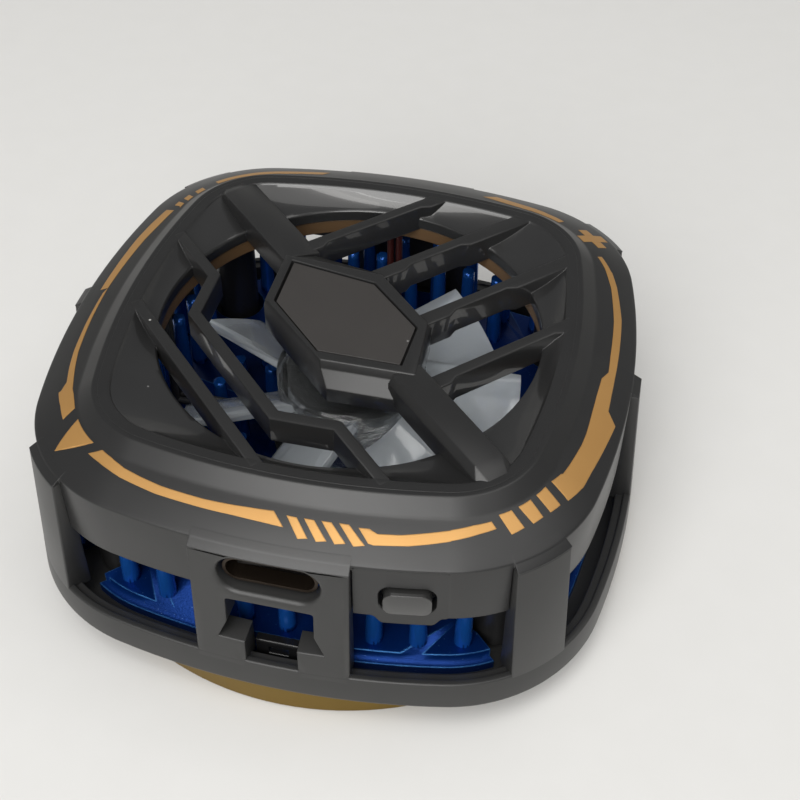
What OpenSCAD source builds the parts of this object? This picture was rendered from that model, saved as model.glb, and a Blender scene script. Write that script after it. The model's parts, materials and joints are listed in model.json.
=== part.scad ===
// Phone cooling fan: a rounded square case with a slotted grille, a pin heatsink seen through side
// windows, a clear impeller, a thermoelectric module and a round magnetic contact disc underneath.
// Millimetres. Z = 0 is the contact face that lies on the phone, +Z is the fan axis, the port faces -Y.

/* [Case outline] */
// Half of the case width, measured at the seam below the bezel
half_width = 30; // [27:0.25:33]
// Radius of the bowed sides, as a multiple of the half width
side_bow = 2.647; // [2.2:0.001:3.4]
// Radius of the rounded corners, as a share of the half width
corner_share = 0.522; // [0.47:0.001:0.58]
// How far the side wall leans out from the seam down to the window sill
flare = 1.2; // [0.4:0.1:1.8]

/* [Case heights] */
// Height of the contact disc under the case
disc_h = 3; // [2.6:0.1:4]
// Thickness of the case floor
floor_t = 1.6; // [1.4:0.1:2.2]
// Height of the window sill above the underside of the floor
sill_h = 4.4; // [3.8:0.1:5]
// Height of the seam between pillars and bezel, above the contact face
seam_z = 21.6; // [21:0.1:23]
// Drop of the bezel skirt below the seam
skirt_drop = 6.2; // [5.8:0.1:6.6]
// Rise of the band edge above the seam
band_rise = 0.65; // [0.4:0.05:0.9]
// Rise of the crease at the top of the band, above the seam
crease_rise = 2.6; // [2.4:0.05:2.8]
// Rise of the rim and the grille bars above the seam
rim_rise = 3.8; // [3.7:0.05:4.2]

/* [Case walls] */
// Thickness of the tray wall at the sill
sill_w = 1.7; // [1.3:0.1:2]
// Depth of the rebate in the sill
sill_step = 0.4; // [0.2:0.1:0.8]
// Chamfer along the foot of the case
foot_chamfer = 1.1; // [0.6:0.1:1.4]
// Recess of the window panels behind the pillar faces
panel_inset = 0.8; // [0.6:0.05:1.1]
// Thickness of the bezel
bezel_t = 1.3; // [1:0.05:1.4]
// Depth of the pillars at the seam
pillar_t = 1.5; // [1.3:0.05:1.7]
// Gap between the pillars and the ends of the skirt panels
skirt_gap = 0.3; // [0.2:0.05:0.5]
// Width of the band from pillar face to crease
band_w = 5.2; // [5:0.05:5.5]
// Width of the steep rise between crease and rim
rise_w = 1.75; // [1.5:0.05:1.9]
// Half width of the front and back pillars, as an angle on the side arc
mid_pillar_a = 5.4; // [4.8:0.1:5.8]
// Half width of the left and right ribs, as an angle on the side arc
rib_a = 1; // [0.7:0.1:1.6]
// Half width of the corner pillars, as an angle on the corner arc
corner_pillar_a = 10.9; // [9:0.1:13]

/* [Grille] */
// Width of the flat ledge inside the rim
ledge_w = 1.5; // [1.3:0.05:1.8]
// Thickness of the ledge
ledge_t = 1.3; // [1.2:0.1:1.6]
// Distance of the round air duct from the side of the case
duct_in = 10.3; // [10:0.05:10.8]
// Drop of the duct lip below the rim
lip_drop = 1.5; // [1.3:0.1:1.8]
// Height of the duct wall below its lip
duct_h = 1.3; // [1:0.1:1.5]
// Wall of the duct and funnel
duct_t = 1; // [0.8:0.1:1.4]
// Depth of the grille bars
bar_h = 3; // [2.6:0.1:3.3]
// Width of the narrow bars
bar_w = 1.25; // [1:0.05:1.6]
// Half width of the slanting bars where they thicken at the rim
bar_root = 1.15; // [0.9:0.05:1.5]
// Half width of the two thick arms
arm_half = 2; // [1.6:0.1:2.4]
// Rise of the badge block above the bars
hex_rise = 0.8; // [0.5:0.1:1]
// Depth of the recess for the badge plate
badge_deep = 0.8; // [0.5:0.1:1]
// Thickness of the badge plate
badge_t = 0.65; // [0.4:0.05:0.8]
// Gap around the badge plate
badge_gap = 0.22; // [0.1:0.02:0.35]

/* [Front openings] */
// Width of the charging slot in the front pillar
port_w = 9.65; // [9.4:0.05:10.4]
// Height of the charging slot
port_h = 4.2; // [3.8:0.1:4.4]
// Half width of the front vent at its top
vent_half = 4.15; // [3.8:0.05:4.6]
// Half width of the narrow slot at the foot of the front vent
vent_slot_half = 2.5; // [2.2:0.05:3]
// Height of the front vent above the sill
vent_h = 8.5; // [8:0.1:8.8]

/* [Button] */
// Width of the button cap
button_w = 4.4; // [4:0.1:4.8]
// Height of the button cap
button_h = 2.7; // [2.4:0.1:2.9]
// Height of the button centre below the seam
button_drop = 3.7; // [3.4:0.05:3.8]
// Place of the button, as an angle on the front side arc
button_a = 9.1; // [9:0.05:9.3]
// Gap around the button cap
button_gap = 0.4; // [0.3:0.05:0.5]
// How far the cap stands out of the panel
button_proud = 0.55; // [0.4:0.05:0.9]
// Travel of the button
button_travel = 0.3; // [0.2:0.05:0.4]

/* [Control board] */
// Thickness of the control board
board_t = 1.6; // [1:0.1:1.8]
// Gap between the duct bottom and the board top
board_gap = 0.2; // [0.1:0.05:0.4]
// Height of the charging socket shell
usb_h = 3.2; // [3:0.05:3.3]
// Width of the charging socket shell
usb_w = 8.94; // [8.6:0.02:9]
// Length of the charging socket
usb_l = 7.3; // [6.6:0.1:7.6]
// Recess of the socket mouth behind the pillar face
usb_recess = 0.8; // [0.5:0.1:1.2]

/* [Cooling stack] */
// How far the contact disc reaches beyond the side of the case at the seam
disc_over = 0.6; // [0.2:0.1:1]
// Distance of the edge of the metal cold plate from the side of the case
cold_in = 8; // [7.6:0.05:8.6]
// Thickness of the cold plate
cold_t = 1.4; // [1.1:0.1:1.7]
// Gap between the corners of the thermoelectric module and the edge of the cold plate
tec_in = 0.8; // [0.5:0.05:2]
// Thickness of each ceramic plate
ceramic_t = 0.7; // [0.5:0.05:0.9]
// Number of thermoelectric legs along each side
leg_rows = 7; // [4:1:9]
// Gap between the cold plate and the ring magnets
magnet_wall = 1.4; // [1.1:0.1:2]
// Width of the disc outside the ring magnets
disc_rim = 3.6; // [3:0.1:4.4]
// Number of ring magnets
magnet_n = 16; // [12:2:20]

/* [Heatsink] */
// Thickness of the heatsink base
base_t = 2.2; // [2:0.1:2.6]
// Gap between the heatsink base and the pillars
base_gap = 0.6; // [0.4:0.1:1]
// Spacing of the cooling pins, as a share of the half size of the base
pin_share = 0.153; // [0.151:0.0005:0.158]
// Radius of the cooling pins
pin_r = 0.68; // [0.5:0.02:0.8]
// Height of the tall pins outside the fan
pin_h = 9.4; // [8:0.1:9.8]
// Height of the short pins under the fan
short_pin_h = 3.6; // [2.5:0.1:4.2]

/* [Fan] */
// Gap between the blade tips and the duct
fan_gap = 1.7; // [1:0.1:2.4]
// Radius of the impeller hub
hub_r = 7.9; // [7.7:0.05:8.2]
// Height of the impeller hub
hub_h = 7.7; // [7.4:0.1:7.9]
// Number of blades
blade_n = 7; // [5:1:9]
// Width of a blade
blade_chord = 9.4; // [8:0.1:9.8]
// Thickness of a blade
blade_t = 0.8; // [0.6:0.05:1]
// Pitch of the blades
blade_pitch = 34; // [28:1:38]
// Radius of the fan shaft
shaft_r = 0.75; // [0.6:0.01:0.8]
// Running clearance of the shaft in its bearing
shaft_fit = 0.03; // [0.02:0.01:0.06]
// Running gap between magnet ring and stator
air_gap = 0.35; // [0.25:0.05:0.5]

/* [Fasteners] */
// Radius of the small screws
screw_r = 0.9; // [0.8:0.02:1]
// Radius of the small screw heads
screw_head_r = 1.6; // [1.4:0.05:1.7]
// Height of the small screw heads
screw_head_h = 0.9; // [0.7:0.05:1]
// Distance of the corner screw posts from the sides of the case
post_in = 10.4; // [10.2:0.05:10.6]
// Radius of the corner screw posts
post_r = 2.4; // [2.2:0.05:2.6]

/* [Hidden] */
$fn = 72;
eps = 0.02;
clear = 0.05;

// Sizes that follow the width of the case
side_radius = side_bow * half_width;
corner_radius = corner_share * half_width;
duct_r = half_width - duct_in;
disc_r = half_width + disc_over;
cold_r = half_width - cold_in;
tec_side = sqrt(2) * (cold_r - tec_in);
magnet_in = cold_r + magnet_wall;
magnet_w = disc_r - disc_rim - magnet_in;
fan_r = duct_r - fan_gap;
post_xy = half_width - post_in;

// Centres of the outline arcs: side arcs on the axes, corner arcs on the diagonals
side_k = half_width - side_radius;
corner_c = (side_k + sqrt(2 * pow(side_radius - corner_radius, 2) - side_k * side_k)) / 2;
side_a = atan2(corner_c, corner_c - side_k);
corner_shift = corner_radius - half_width;

// Heights
floor_top = disc_h + floor_t;
sill_z = disc_h + sill_h;
skirt_z = seam_z - skirt_drop;
band_z = seam_z + band_rise;
crease_z = seam_z + crease_rise;
rim_z = seam_z + rim_rise;
seat_z = rim_z - ledge_t;
lip_z = rim_z - lip_drop;
duct_z = lip_z - duct_h;
bar_z = rim_z - bar_h;
hex_z = rim_z + hex_rise;
board_top = duct_z - board_gap;
board_z = board_top - board_t;

// Half sizes of the outlines
panel_w = half_width - panel_inset;
skirt_in = panel_w - bezel_t;
pillar_in = half_width - pillar_t;
wall_in = half_width + flare - sill_w;
sill_mid = wall_in + sill_w / 2;
crease_w = half_width - band_w;
rim_w = crease_w - rise_w;
shelf_in = rim_w - 0.9;
ledge_in = rim_w - ledge_w;
tab_edge = 0.12;
foot_z = disc_h + foot_chamfer;
foot_w = half_width + flare - foot_chamfer / 2;
base_w = pillar_in - base_gap;
board_w = crease_w + 0.2;
board_mid = (duct_r + board_w) / 2;
board_land = board_w - duct_r;
board_thread_r = screw_r * 0.8;
board_thread_l = 1.1;
board_boss_r = 1.2;

// Underside of the band, kept one bezel thickness below its top
band_slope = (crease_z - band_z) / (panel_w - crease_w);
under_drop = bezel_t * sqrt(1 + band_slope * band_slope);
shelf_under = seat_z - 1.2;

// Cooling stack
tec_z = cold_t;
tec_h = floor_top - cold_t;
leg_h = tec_h - 2 * ceramic_t;
base_top = floor_top + base_t;
carrier_in = cold_r + 0.3;
disc_edge = 0.3;
magnet_skin = 0.8;
gasket_r = cold_r + 0.2;
floor_open_r = gasket_r + 0.4;
clamp_r = (tec_side / 2 + cold_r) / 2 - 0.5;
clamp_turn = 15;
step_in = 0.7;
pin_foot = 1.35 * pin_r;
pin_edge = 1.6;
pin_pitch = pin_share * base_w;
post_cap_t = 0.5;
post_cap_r = post_r + 0.7;
case_thread_l = 8;
notch_r = post_r + 0.6;
notch_mouth = 1.9 * notch_r;

// Motor stack
boss_h = 0.8;
boss_r = hub_r + 1.1;
motor_z = base_top + boss_h;
motor_base_t = 1;
motor_top = motor_z + motor_base_t;
hub_top = motor_top + 1.6 + hub_h;
hub_z = hub_top - hub_h;
hub_wall = 0.108 * hub_r;
yoke_t = 0.076 * hub_r;
yoke_r = hub_r - hub_wall - clear;
yoke_top = hub_top - 1;
magnet_t = 0.127 * hub_r;
rotor_magnet_r = yoke_r - yoke_t - eps;
stator_r = rotor_magnet_r - magnet_t - air_gap;
stator_h = 3;
stator_z = motor_top + 2.2;
motor_board_t = 0.7;
tube_r = 0.266 * hub_r;
coil_w = 0.38 * hub_r;
tooth_w = 0.165 * hub_r;
shoe_w = 0.66 * hub_r;
sleeve_r = 1.55;
washer_t = 0.4;
sleeve_z = motor_top + 1.2;
sleeve_top = yoke_top - 1.6;
tube_top = sleeve_top + 0.1;
shaft_z = motor_top + washer_t;
shaft_top = yoke_top + 0.5;
motor_screw_at = hub_r - 0.7;
motor_thread_r = screw_r * 0.6;
motor_thread_l = 2;
blade_mid = hub_z + 0.55 * hub_h;

// Front block, button and socket
port_z = board_z - usb_h / 2;
button_z = seam_z - button_drop;
usb_y = half_width - usb_recess;
usb_wall = 0.3;
hook_w = 3.2;
hook_t = 0.7;
hook_h = sill_h + 2.4;
cap_round = 0.9;
vent_tip = 0.95;
vent_ledge = 1.1;
vent_slope = 1.8;
tongue_drop = 1;
flange_t = 0.8;
flange_lap = 0.9;
flange_w = skirt_in - 0.3;
nub_r = 1;
nub_l = 0.7;
plunger_r = 0.85;
switch_w = 4.4;
switch_d = 3.2;
switch_below = 1.4;
plunger_sink = 1.6;
plunger_l = 2.8;
plunger_room = 0.2;
switch_face = flange_w - flange_t - nub_l - 1.2;
lead_r = 0.4;
lead_run = duct_r + 0.7;
lead_gap = 0.5;
lead_slot = 2.4;

// Half size of the leaning outer wall at a height
function wall_w(z) = half_width + flare * (seam_z - z) / (seam_z - sill_z);

// Height of the band underside at a half size
function under_z(w) = crease_z - under_drop - band_slope * (w - crease_w);

// Distance of the outline from the X axis at a place along one side
function outline_y(x, w) =
    abs(x) <= (w - side_k) * sin(side_a)
    ? side_k + sqrt(pow(w - side_k, 2) - x * x)
    : corner_c + sqrt(pow(w + corner_shift, 2) - pow(abs(x) - corner_c, 2));

// Polar radius of the outline at an angle folded into its first eighth
function fold(a) = abs(((a + 45) % 90) - 45);
function side_end(w) = atan2((w - side_k) * sin(side_a), side_k + (w - side_k) * cos(side_a));
function outline_r(a, w) =
    let (t = fold(a), s = sin(t), q = cos(t))
    t <= side_end(w)
    ? side_k * q + sqrt(pow(w - side_k, 2) - pow(side_k * s, 2))
    : corner_c * (q + s) + sqrt(pow(w + corner_shift, 2) - pow(corner_c * (s - q), 2));

// Filled case outline at a half size, built from its arcs
module outline(w) {
    for (turn = [0, 90]) rotate(turn) intersection() {
        square([2 * (w - side_k) * sin(side_a), 2 * w], center = true);
        translate([0, side_k]) circle(r = w - side_k);
        translate([0, -side_k]) circle(r = w - side_k);
    }
    for (turn = [0:90:270]) rotate(turn) translate([corner_c, corner_c]) circle(r = w + corner_shift);
}

// Part of a profile swept along one side arc, or along one corner arc
module side_sweep(side, a0, a1) {
    rotate(90 * side) translate([side_k, 0]) rotate(a0)
        rotate_extrude(angle = a1 - a0) translate([-side_k, 0]) children();
}
module corner_sweep(side, a0, a1) {
    rotate(90 * side) translate([corner_c, corner_c]) rotate(a0)
        rotate_extrude(angle = a1 - a0) translate([corner_shift, 0]) children();
}

// A profile swept the whole way round: full turns trimmed where the side arcs meet the corner arcs
reach = 2 * half_width;
far = [corner_c + reach * cos(side_a), corner_c + reach * sin(side_a)];
module all_round() {
    for (side = [0:3]) rotate(90 * side) {
        intersection() {
            translate([side_k, 0]) rotate_extrude($fn = 6 * $fn) translate([-side_k, 0]) children();
            linear_extrude(reach)
                polygon([[corner_c, -corner_c], [far[0], -far[1]], far, [corner_c, corner_c]]);
        }
        intersection() {
            translate([corner_c, corner_c]) rotate_extrude() translate([corner_shift, 0]) children();
            linear_extrude(reach)
                polygon([[corner_c, corner_c], far, [far[0], far[0]], [far[1], far[0]]]);
        }
    }
}

// Pillar half angle on a side: ribs on the left and right, broad pillars on the front and back
function pillar_a(side) = side % 2 == 0 ? rib_a : mid_pillar_a;
module at_pillars(gap = 0) {
    corner_half = corner_pillar_a + asin(gap / corner_radius);
    for (side = [0:3]) {
        side_half = pillar_a(side) + asin(gap / side_radius);
        side_sweep(side, -side_half, side_half) children();
        corner_sweep(side, 45 - corner_half, 45 + corner_half) children();
    }
}

// Places that repeat
module at_posts() {
    for (turn = [0:90:270]) rotate(turn) translate([post_xy, post_xy, 0]) children();
}
module at_clamps() {
    for (turn = [0:90:270]) rotate(turn + clamp_turn) translate([clamp_r, 0, 0]) children();
}
module at_motor_screws() {
    for (turn = [90, 270]) rotate(turn) translate([motor_screw_at, 0, 0]) children();
}
module at_board_screws() {
    for (turn = [0, 180]) rotate(turn) translate([board_mid + 0.14 * board_land, board_land, 0]) children();
}
// Frame of the button: X runs out through the front panel, Z up
module at_button() {
    rotate(270) translate([side_k, 0, 0]) rotate(button_a) translate([-side_k, 0, 0]) children();
}

// Flat shapes
module rounded(size, r) {
    square([size[0] - 2 * r, size[1]], center = true);
    square([size[0], size[1] - 2 * r], center = true);
    for (x = [-1, 1], y = [-1, 1]) translate([x * (size[0] / 2 - r), y * (size[1] / 2 - r)]) circle(r = r);
}
// A rounded plate that faces along X, from one half size to another
module facing_plate(w0, w1, z, size, r) {
    translate([w0, 0, z]) rotate([90, 0, 90]) linear_extrude(w1 - w0) rounded(size, r);
}
module ring(r_in, r_out, z0, z1) {
    translate([0, 0, z0]) difference() {
        cylinder(r = r_out, h = z1 - z0);
        translate([0, 0, -1]) cylinder(r = r_in, h = z1 - z0 + 2);
    }
}
// A cut that goes through the front pillar, drawn as seen from the front
module front_cut() {
    translate([0, -skirt_in, 0]) rotate([90, 0, 0]) linear_extrude(half_width) children();
}
// Screw with its head on top, threaded end down
module screw(length, r, head_r, head_h) {
    translate([0, 0, -length]) cylinder(r = r, h = length + eps);
    difference() {
        cylinder(r = head_r, h = head_h);
        translate([0, 0, head_h / 2]) cylinder(r = head_r / 2, h = head_h, $fn = 6);
    }
}

// Profiles of the case
module tray_profile() {
    polygon([[wall_in, disc_h], [foot_w, disc_h], [wall_w(foot_z), foot_z], [wall_w(sill_z), sill_z],
        [sill_mid, sill_z], [sill_mid, sill_z - sill_step], [wall_in, sill_z - sill_step]]);
}
module pillar_profile() {
    root = sill_z - 2 * sill_step;
    polygon([[pillar_in, disc_h + eps], [sill_mid, disc_h + eps], [sill_mid, root],
        [wall_w(sill_z) - eps, root], [half_width, seam_z], [pillar_in, seam_z]]);
}
module band_profile() {
    polygon([[skirt_in, skirt_z], [panel_w, skirt_z], [panel_w, band_z], [crease_w, crease_z],
        [rim_w, rim_z], [rim_w, seat_z], [shelf_in, seat_z], [shelf_in, shelf_under],
        [crease_w, under_z(crease_w)], [skirt_in, under_z(skirt_in)]]);
}
module tab_profile() {
    root = panel_w - bezel_t / 2;
    polygon([[root, seam_z - tab_edge], [half_width, seam_z - tab_edge], [half_width, seam_z + tab_edge],
        [panel_w, band_z - 2 * eps], [root, band_z - 2 * eps]]);
}

// Room for the pillars, cut up into the bezel as far as the seam
module pillar_room() {
    translate([skirt_in - 1, skirt_z - 1]) square([half_width + 2 - skirt_in, seam_z - skirt_z + 1]);
}

// Bezel: printed band, tabs over the pillars, skirt with the button tongue, and corner screw posts
module top_bezel() {
    tongue_a = asin((button_w / 2 + button_gap + flange_lap / 2) / (panel_w - side_k));
    color("#2b2c2e") difference() {
        union() {
            all_round() band_profile();
            at_pillars() tab_profile();
            side_sweep(3, button_a - tongue_a, button_a + tongue_a)
                translate([skirt_in + eps, skirt_z - tongue_drop])
                    square([bezel_t - 2 * eps, tongue_drop + 1]);
            at_posts() {
                translate([0, 0, floor_top]) cylinder(r = post_r, h = board_top + post_cap_t - floor_top);
                translate([0, 0, board_top]) cylinder(r = post_cap_r, h = post_cap_t);
            }
            at_board_screws() translate([0, 0, board_top])
                cylinder(r = board_boss_r, h = shelf_under - board_top + 0.3);
        }
        at_posts() translate([0, 0, floor_top - 1]) cylinder(r = screw_r, h = case_thread_l + 1);
        at_board_screws() translate([0, 0, board_top - 1])
            cylinder(r = board_thread_r, h = board_thread_l + 1.3);
        at_button() facing_plate(skirt_in - 1, panel_w + 1, button_z,
            [button_w + 2 * button_gap, button_h + 2 * button_gap], cap_round + button_gap);
        at_pillars(skirt_gap) pillar_room();
    }
}

// Funnel from the ledge outline down to the round duct, as one closed loft
module funnel() {
    n = 72;
    loops = [[ledge_in + eps, 0, rim_z - eps], [0, duct_r, lip_z], [0, duct_r, duct_z],
        [0, duct_r + duct_t, duct_z], [ledge_in + 0.5, 0, seat_z + 0.2]];
    points = [for (loop = loops, i = [0:n - 1])
        let (a = 360 * i / n, r = loop[0] > 0 ? outline_r(a, loop[0]) : loop[1])
        [r * cos(a), r * sin(a), loop[2]]];
    m = len(loops);
    faces = [for (j = [0:m - 1], i = [0:n - 1])
        let (p = j * n, q = ((j + 1) % m) * n, k = (i + 1) % n)
        each [[p + i, q + k, p + k], [p + i, q + i, q + k]]];
    polyhedron(points, faces, convexity = 4);
}

// Grille bars, drawn flat; the slanting set runs along the diagonal and its place is the other diagonal
module bar_line(path, w) {
    for (i = [0:len(path) - 2]) {
        step = path[i + 1] - path[i];
        translate(path[i]) rotate(atan2(step[1], step[0])) translate([0, -w / 2]) square([norm(step), w]);
        if (i > 0) translate(path[i]) circle(d = w);
    }
}
module slant_bar(across, from) {
    neck = bar_w / 2;
    kink = duct_r - 3.6;
    rotate(45) translate([0, -across]) polygon([[from, -bar_root], [from + 3.2, -bar_root],
        [from + 4.2, -neck], [kink, -neck], [kink + 1, -bar_root], [rim_w + 3, -bar_root],
        [rim_w + 3, neck], [from, neck]]);
}
module arm_foot(half) {
    translate([arm_from, -half]) square([arm_deep - arm_from, 2 * half]);
}
// Raised top of an arm: a foot sunk in the ledge and a ridge that stops short of its end, between sides
module arm_top(foot, ridge) {
    hull() {
        translate([0, 0, rim_z - arm_sink]) linear_extrude(arm_sink - 0.1)
            polygon([[arm_from, foot[0]], [arm_far - 1, foot[0]], [arm_far, foot[0] / 2],
                [arm_far, foot[1] / 2], [arm_far - 1, foot[1]], [arm_from, foot[1]]]);
        translate([0, 0, rim_z - arm_sink]) linear_extrude(hex_z - 0.1 - rim_z + arm_sink)
            polygon([[arm_from, ridge[0]], [arm_far - arm_chisel, ridge[0]],
                [arm_far - arm_chisel, ridge[1]], [arm_from, ridge[1]]]);
    }
}
arm_from = 5;
arm_sink = 1;
arm_chisel = 2;
arm_far = outline_r(45, (ledge_in + rim_w) / 2);
// The deep part of an arm ends before the caps of the corner posts
arm_deep = norm([post_xy, post_xy]) - post_cap_r - 0.4;
// The drawn pattern follows the duct
drawn_r = 19.7;
pattern = duct_r / drawn_r;
slant_places = [[-12.3, 0], [-4.3, 5.5], [4.3, 5.5], [12.6, 0]];
bend_out = [-21.1, 8.4];
bend_mid = [-15.5, 2.8];
bend_in = [-15.5, -3.4];
function swapped(p) = [p[1], p[0]];
outer_bar = [-21.4, -3.6];

module bars() {
    bar_line([bend_out, bend_mid, bend_in, swapped(bend_in), swapped(bend_mid), swapped(bend_out)], bar_w);
    bar_line([outer_bar, swapped(outer_bar)], bar_w);
    for (place = slant_places) slant_bar(place[0], place[1]);
}

// Badge block: outline at its foot, at its shoulder and on top
hex_foot = [[-9, 6.9], [-6, 8.6], [1.3, 7.2], [8.4, 0.1], [8.6, -8.4], [7.3, -9.6], [0, -9.6], [-9, -0.6]];
hex_shoulder = [[-9, 6.9], [-6, 8.6], [1.3, 7.2], [8.4, 0.1], [8.8, -8.2], [-1, -8.2], [-9, -0.6]];
hex_top = [[-8.8, 6.9], [1.9, 6], [8.1, -0.4], [8.5, -8], [-1, -8], [-8.8, -0.5]];
badge = [[-7.9, 6.2], [1.5, 4.6], [7.3, -1.2], [7, -7], [-1.6, -6.9], [-7.9, -0.5]];
hex_break = 2;

module hex_block() {
    hull() {
        translate([0, 0, bar_z - 0.2]) linear_extrude(rim_z - hex_break + 0.7 - bar_z)
            scale(pattern) polygon(hex_foot);
        translate([0, 0, bar_z]) linear_extrude(bar_h - 0.1) scale(pattern) polygon(hex_shoulder);
        translate([0, 0, bar_z]) linear_extrude(hex_z - bar_z) scale(pattern) polygon(hex_top);
    }
}

module fan_grille() {
    color("#333436") difference() {
        union() {
            all_round() translate([ledge_in, seat_z]) square([rim_w - clear - ledge_in, ledge_t]);
            funnel();
            intersection() {
                translate([0, 0, bar_z]) linear_extrude(bar_h) {
                    scale(pattern) bars();
                    for (turn = [-45, 135]) rotate(turn) arm_foot(arm_half);
                }
                translate([0, 0, bar_z - 1]) linear_extrude(bar_h + 2) outline(ledge_in + 0.3);
            }
            rotate(-45) arm_top([-arm_half, arm_half], [-0.7 * arm_half, 0.8 * arm_half]);
            rotate(135) arm_top([-1.2 * arm_half, arm_half - eps], [0.3 * arm_half, 0.95 * arm_half]);
            hex_block();
        }
        translate([0, 0, hex_z - badge_deep]) linear_extrude(badge_deep + 1) scale(pattern) polygon(badge);
    }
}

module badge_plate() {
    middle = [-0.3, -0.8];
    shrink = 1 - badge_gap / 6;
    color("#3c3a3a") translate([pattern * middle[0], pattern * middle[1], hex_z - badge_deep])
        linear_extrude(badge_t) scale(pattern) polygon([for (p = badge) (p - middle) * shrink]);
}

// Snap hook that stands in the front vent
module snap_hook() {
    translate([-hook_w / 2, -pillar_in - hook_t / 2, disc_h]) cube([hook_w, hook_t, hook_h]);
}

// Lower shell: floor, leaning wall, pillars and front block
module lower_shell() {
    vent_top = sill_z + vent_h;
    vent_neck = sill_z + 0.44 * vent_h;
    vent_side = sill_z + 0.62 * vent_h;
    tip = vent_half + vent_tip;
    color("#3a3a3c") difference() {
        union() {
            all_round() tray_profile();
            at_pillars() pillar_profile();
            translate([0, 0, disc_h]) linear_extrude(floor_t) outline(wall_in + 0.3);
            snap_hook();
        }
        translate([0, 0, disc_h - 1]) cylinder(r = floor_open_r, h = floor_t + 2);
        at_posts() {
            translate([0, 0, disc_h - 1]) cylinder(r = screw_r + 0.15, h = floor_t + 2);
            translate([0, 0, disc_h - 1]) cylinder(r = screw_head_r + 0.2, h = screw_head_h + 1);
        }
        front_cut() translate([0, port_z]) rounded([port_w, port_h], port_h / 2 - eps);
        translate([0, 0.5 - half_width, 0]) rotate([90, 0, 0]) linear_extrude(4)
            translate([0, port_z]) rounded([port_w + 0.9, port_h + 0.7], port_h / 2);
        difference() {
            front_cut() polygon([[-vent_half, vent_top], [vent_half, vent_top], [vent_half, vent_side],
                [tip, vent_neck], [vent_slot_half, vent_neck], [vent_slot_half, sill_z],
                [-vent_slot_half, sill_z], [-vent_slot_half, vent_neck], [-tip, vent_neck],
                [-vent_half, vent_side]]);
            snap_hook();
        }
        for (start = [0.1 - tip, vent_slot_half - 0.2]) translate([start, 0, 0]) rotate([90, 0, 90])
            linear_extrude(tip - vent_slot_half + 0.1) polygon([[-pillar_in - vent_ledge, vent_neck + 0.2],
                [-pillar_in - 4, vent_neck + 0.2], [-pillar_in - 4, vent_neck - vent_slope]]);
        translate([-hook_w / 4, -pillar_in - 1, sill_z + 0.5]) cube([hook_w / 2, 3, 1.1]);
    }
}

// Contact disc under the case
module magnet_carrier() {
    groove_r = magnet_in + magnet_w + clear;
    color("#b98f1c") difference() {
        union() {
            cylinder(r1 = disc_r - disc_edge, r2 = disc_r, h = disc_edge);
            translate([0, 0, disc_edge]) cylinder(r = disc_r, h = disc_h - disc_edge);
        }
        translate([0, 0, -1]) cylinder(r = carrier_in, h = disc_h + 2);
        ring(magnet_in - clear, groove_r, magnet_skin, disc_h + 1);
    }
}

module ring_magnets() {
    pitch = 360 / magnet_n;
    color("#8d9196") for (i = [0:magnet_n - 1]) rotate(i * pitch) rotate_extrude(angle = pitch - 2.5)
        translate([magnet_in, magnet_skin]) square([magnet_w, disc_h - magnet_skin - 0.1]);
}

module cold_plate() {
    color("#c9ccd0") difference() {
        cylinder(r = cold_r, h = cold_t);
        at_clamps() translate([0, 0, 0.4]) cylinder(r = screw_r, h = cold_t);
    }
}

module tec_plate(z) {
    translate([-tec_side / 2, -tec_side / 2, z]) cube([tec_side, tec_side, ceramic_t]);
}
module tec_cold_ceramic() { color("#e8e6e0") tec_plate(tec_z); }
module tec_hot_ceramic() { color("#e8e6e0") tec_plate(tec_z + tec_h - ceramic_t); }

module tec_legs() {
    pitch = (tec_side - 1.2) / leg_rows;
    color("#9a9ca2") for (i = [0:leg_rows - 1], j = [0:leg_rows - 1])
        translate([(i - (leg_rows - 1) / 2) * pitch, (j - (leg_rows - 1) / 2) * pitch, tec_z + ceramic_t])
            translate([-pitch * 0.3, -pitch * 0.3, 0]) cube([pitch * 0.6, pitch * 0.6, leg_h]);
}

module insulation_gasket() {
    hole = tec_side + 0.2;
    color("#1c1c1e") translate([0, 0, tec_z]) difference() {
        cylinder(r = gasket_r, h = tec_h);
        translate([-hole / 2, -hole / 2, -1]) cube([hole, hole, tec_h + 2]);
        at_clamps() translate([0, 0, -1]) cylinder(r = screw_r + 0.15, h = tec_h + 2);
        translate([-lead_slot / 2, tec_side / 2 - 1, ceramic_t]) cube([lead_slot, cold_r, tec_h]);
    }
}

// Heatsink base: stepped plate with corner notches and a boss under the motor
module heatsink_base() {
    color("#1d3f9e") difference() {
        union() {
            translate([0, 0, floor_top]) linear_extrude(base_t / 2) outline(base_w);
            translate([0, 0, floor_top]) linear_extrude(base_t) outline(base_w - step_in);
            translate([0, 0, floor_top]) cylinder(r = boss_r, h = base_t + boss_h);
        }
        at_posts() translate([0, 0, floor_top - 1]) {
            cylinder(r = notch_r, h = base_t + 2);
            rotate(45) translate([0, -notch_mouth / 2, 0]) cube([half_width, notch_mouth, base_t + 2]);
        }
        at_clamps() translate([0, 0, floor_top - 1]) cylinder(r = screw_r + 0.1, h = base_t + 2);
        at_motor_screws() translate([0, 0, motor_z - motor_thread_l])
            cylinder(r = motor_thread_r, h = motor_thread_l + 1);
        translate([-lead_slot / 2, lead_run - lead_slot / 4, floor_top - 1])
            cube([lead_slot, lead_slot / 2, base_t + 2]);
    }
}

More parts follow.
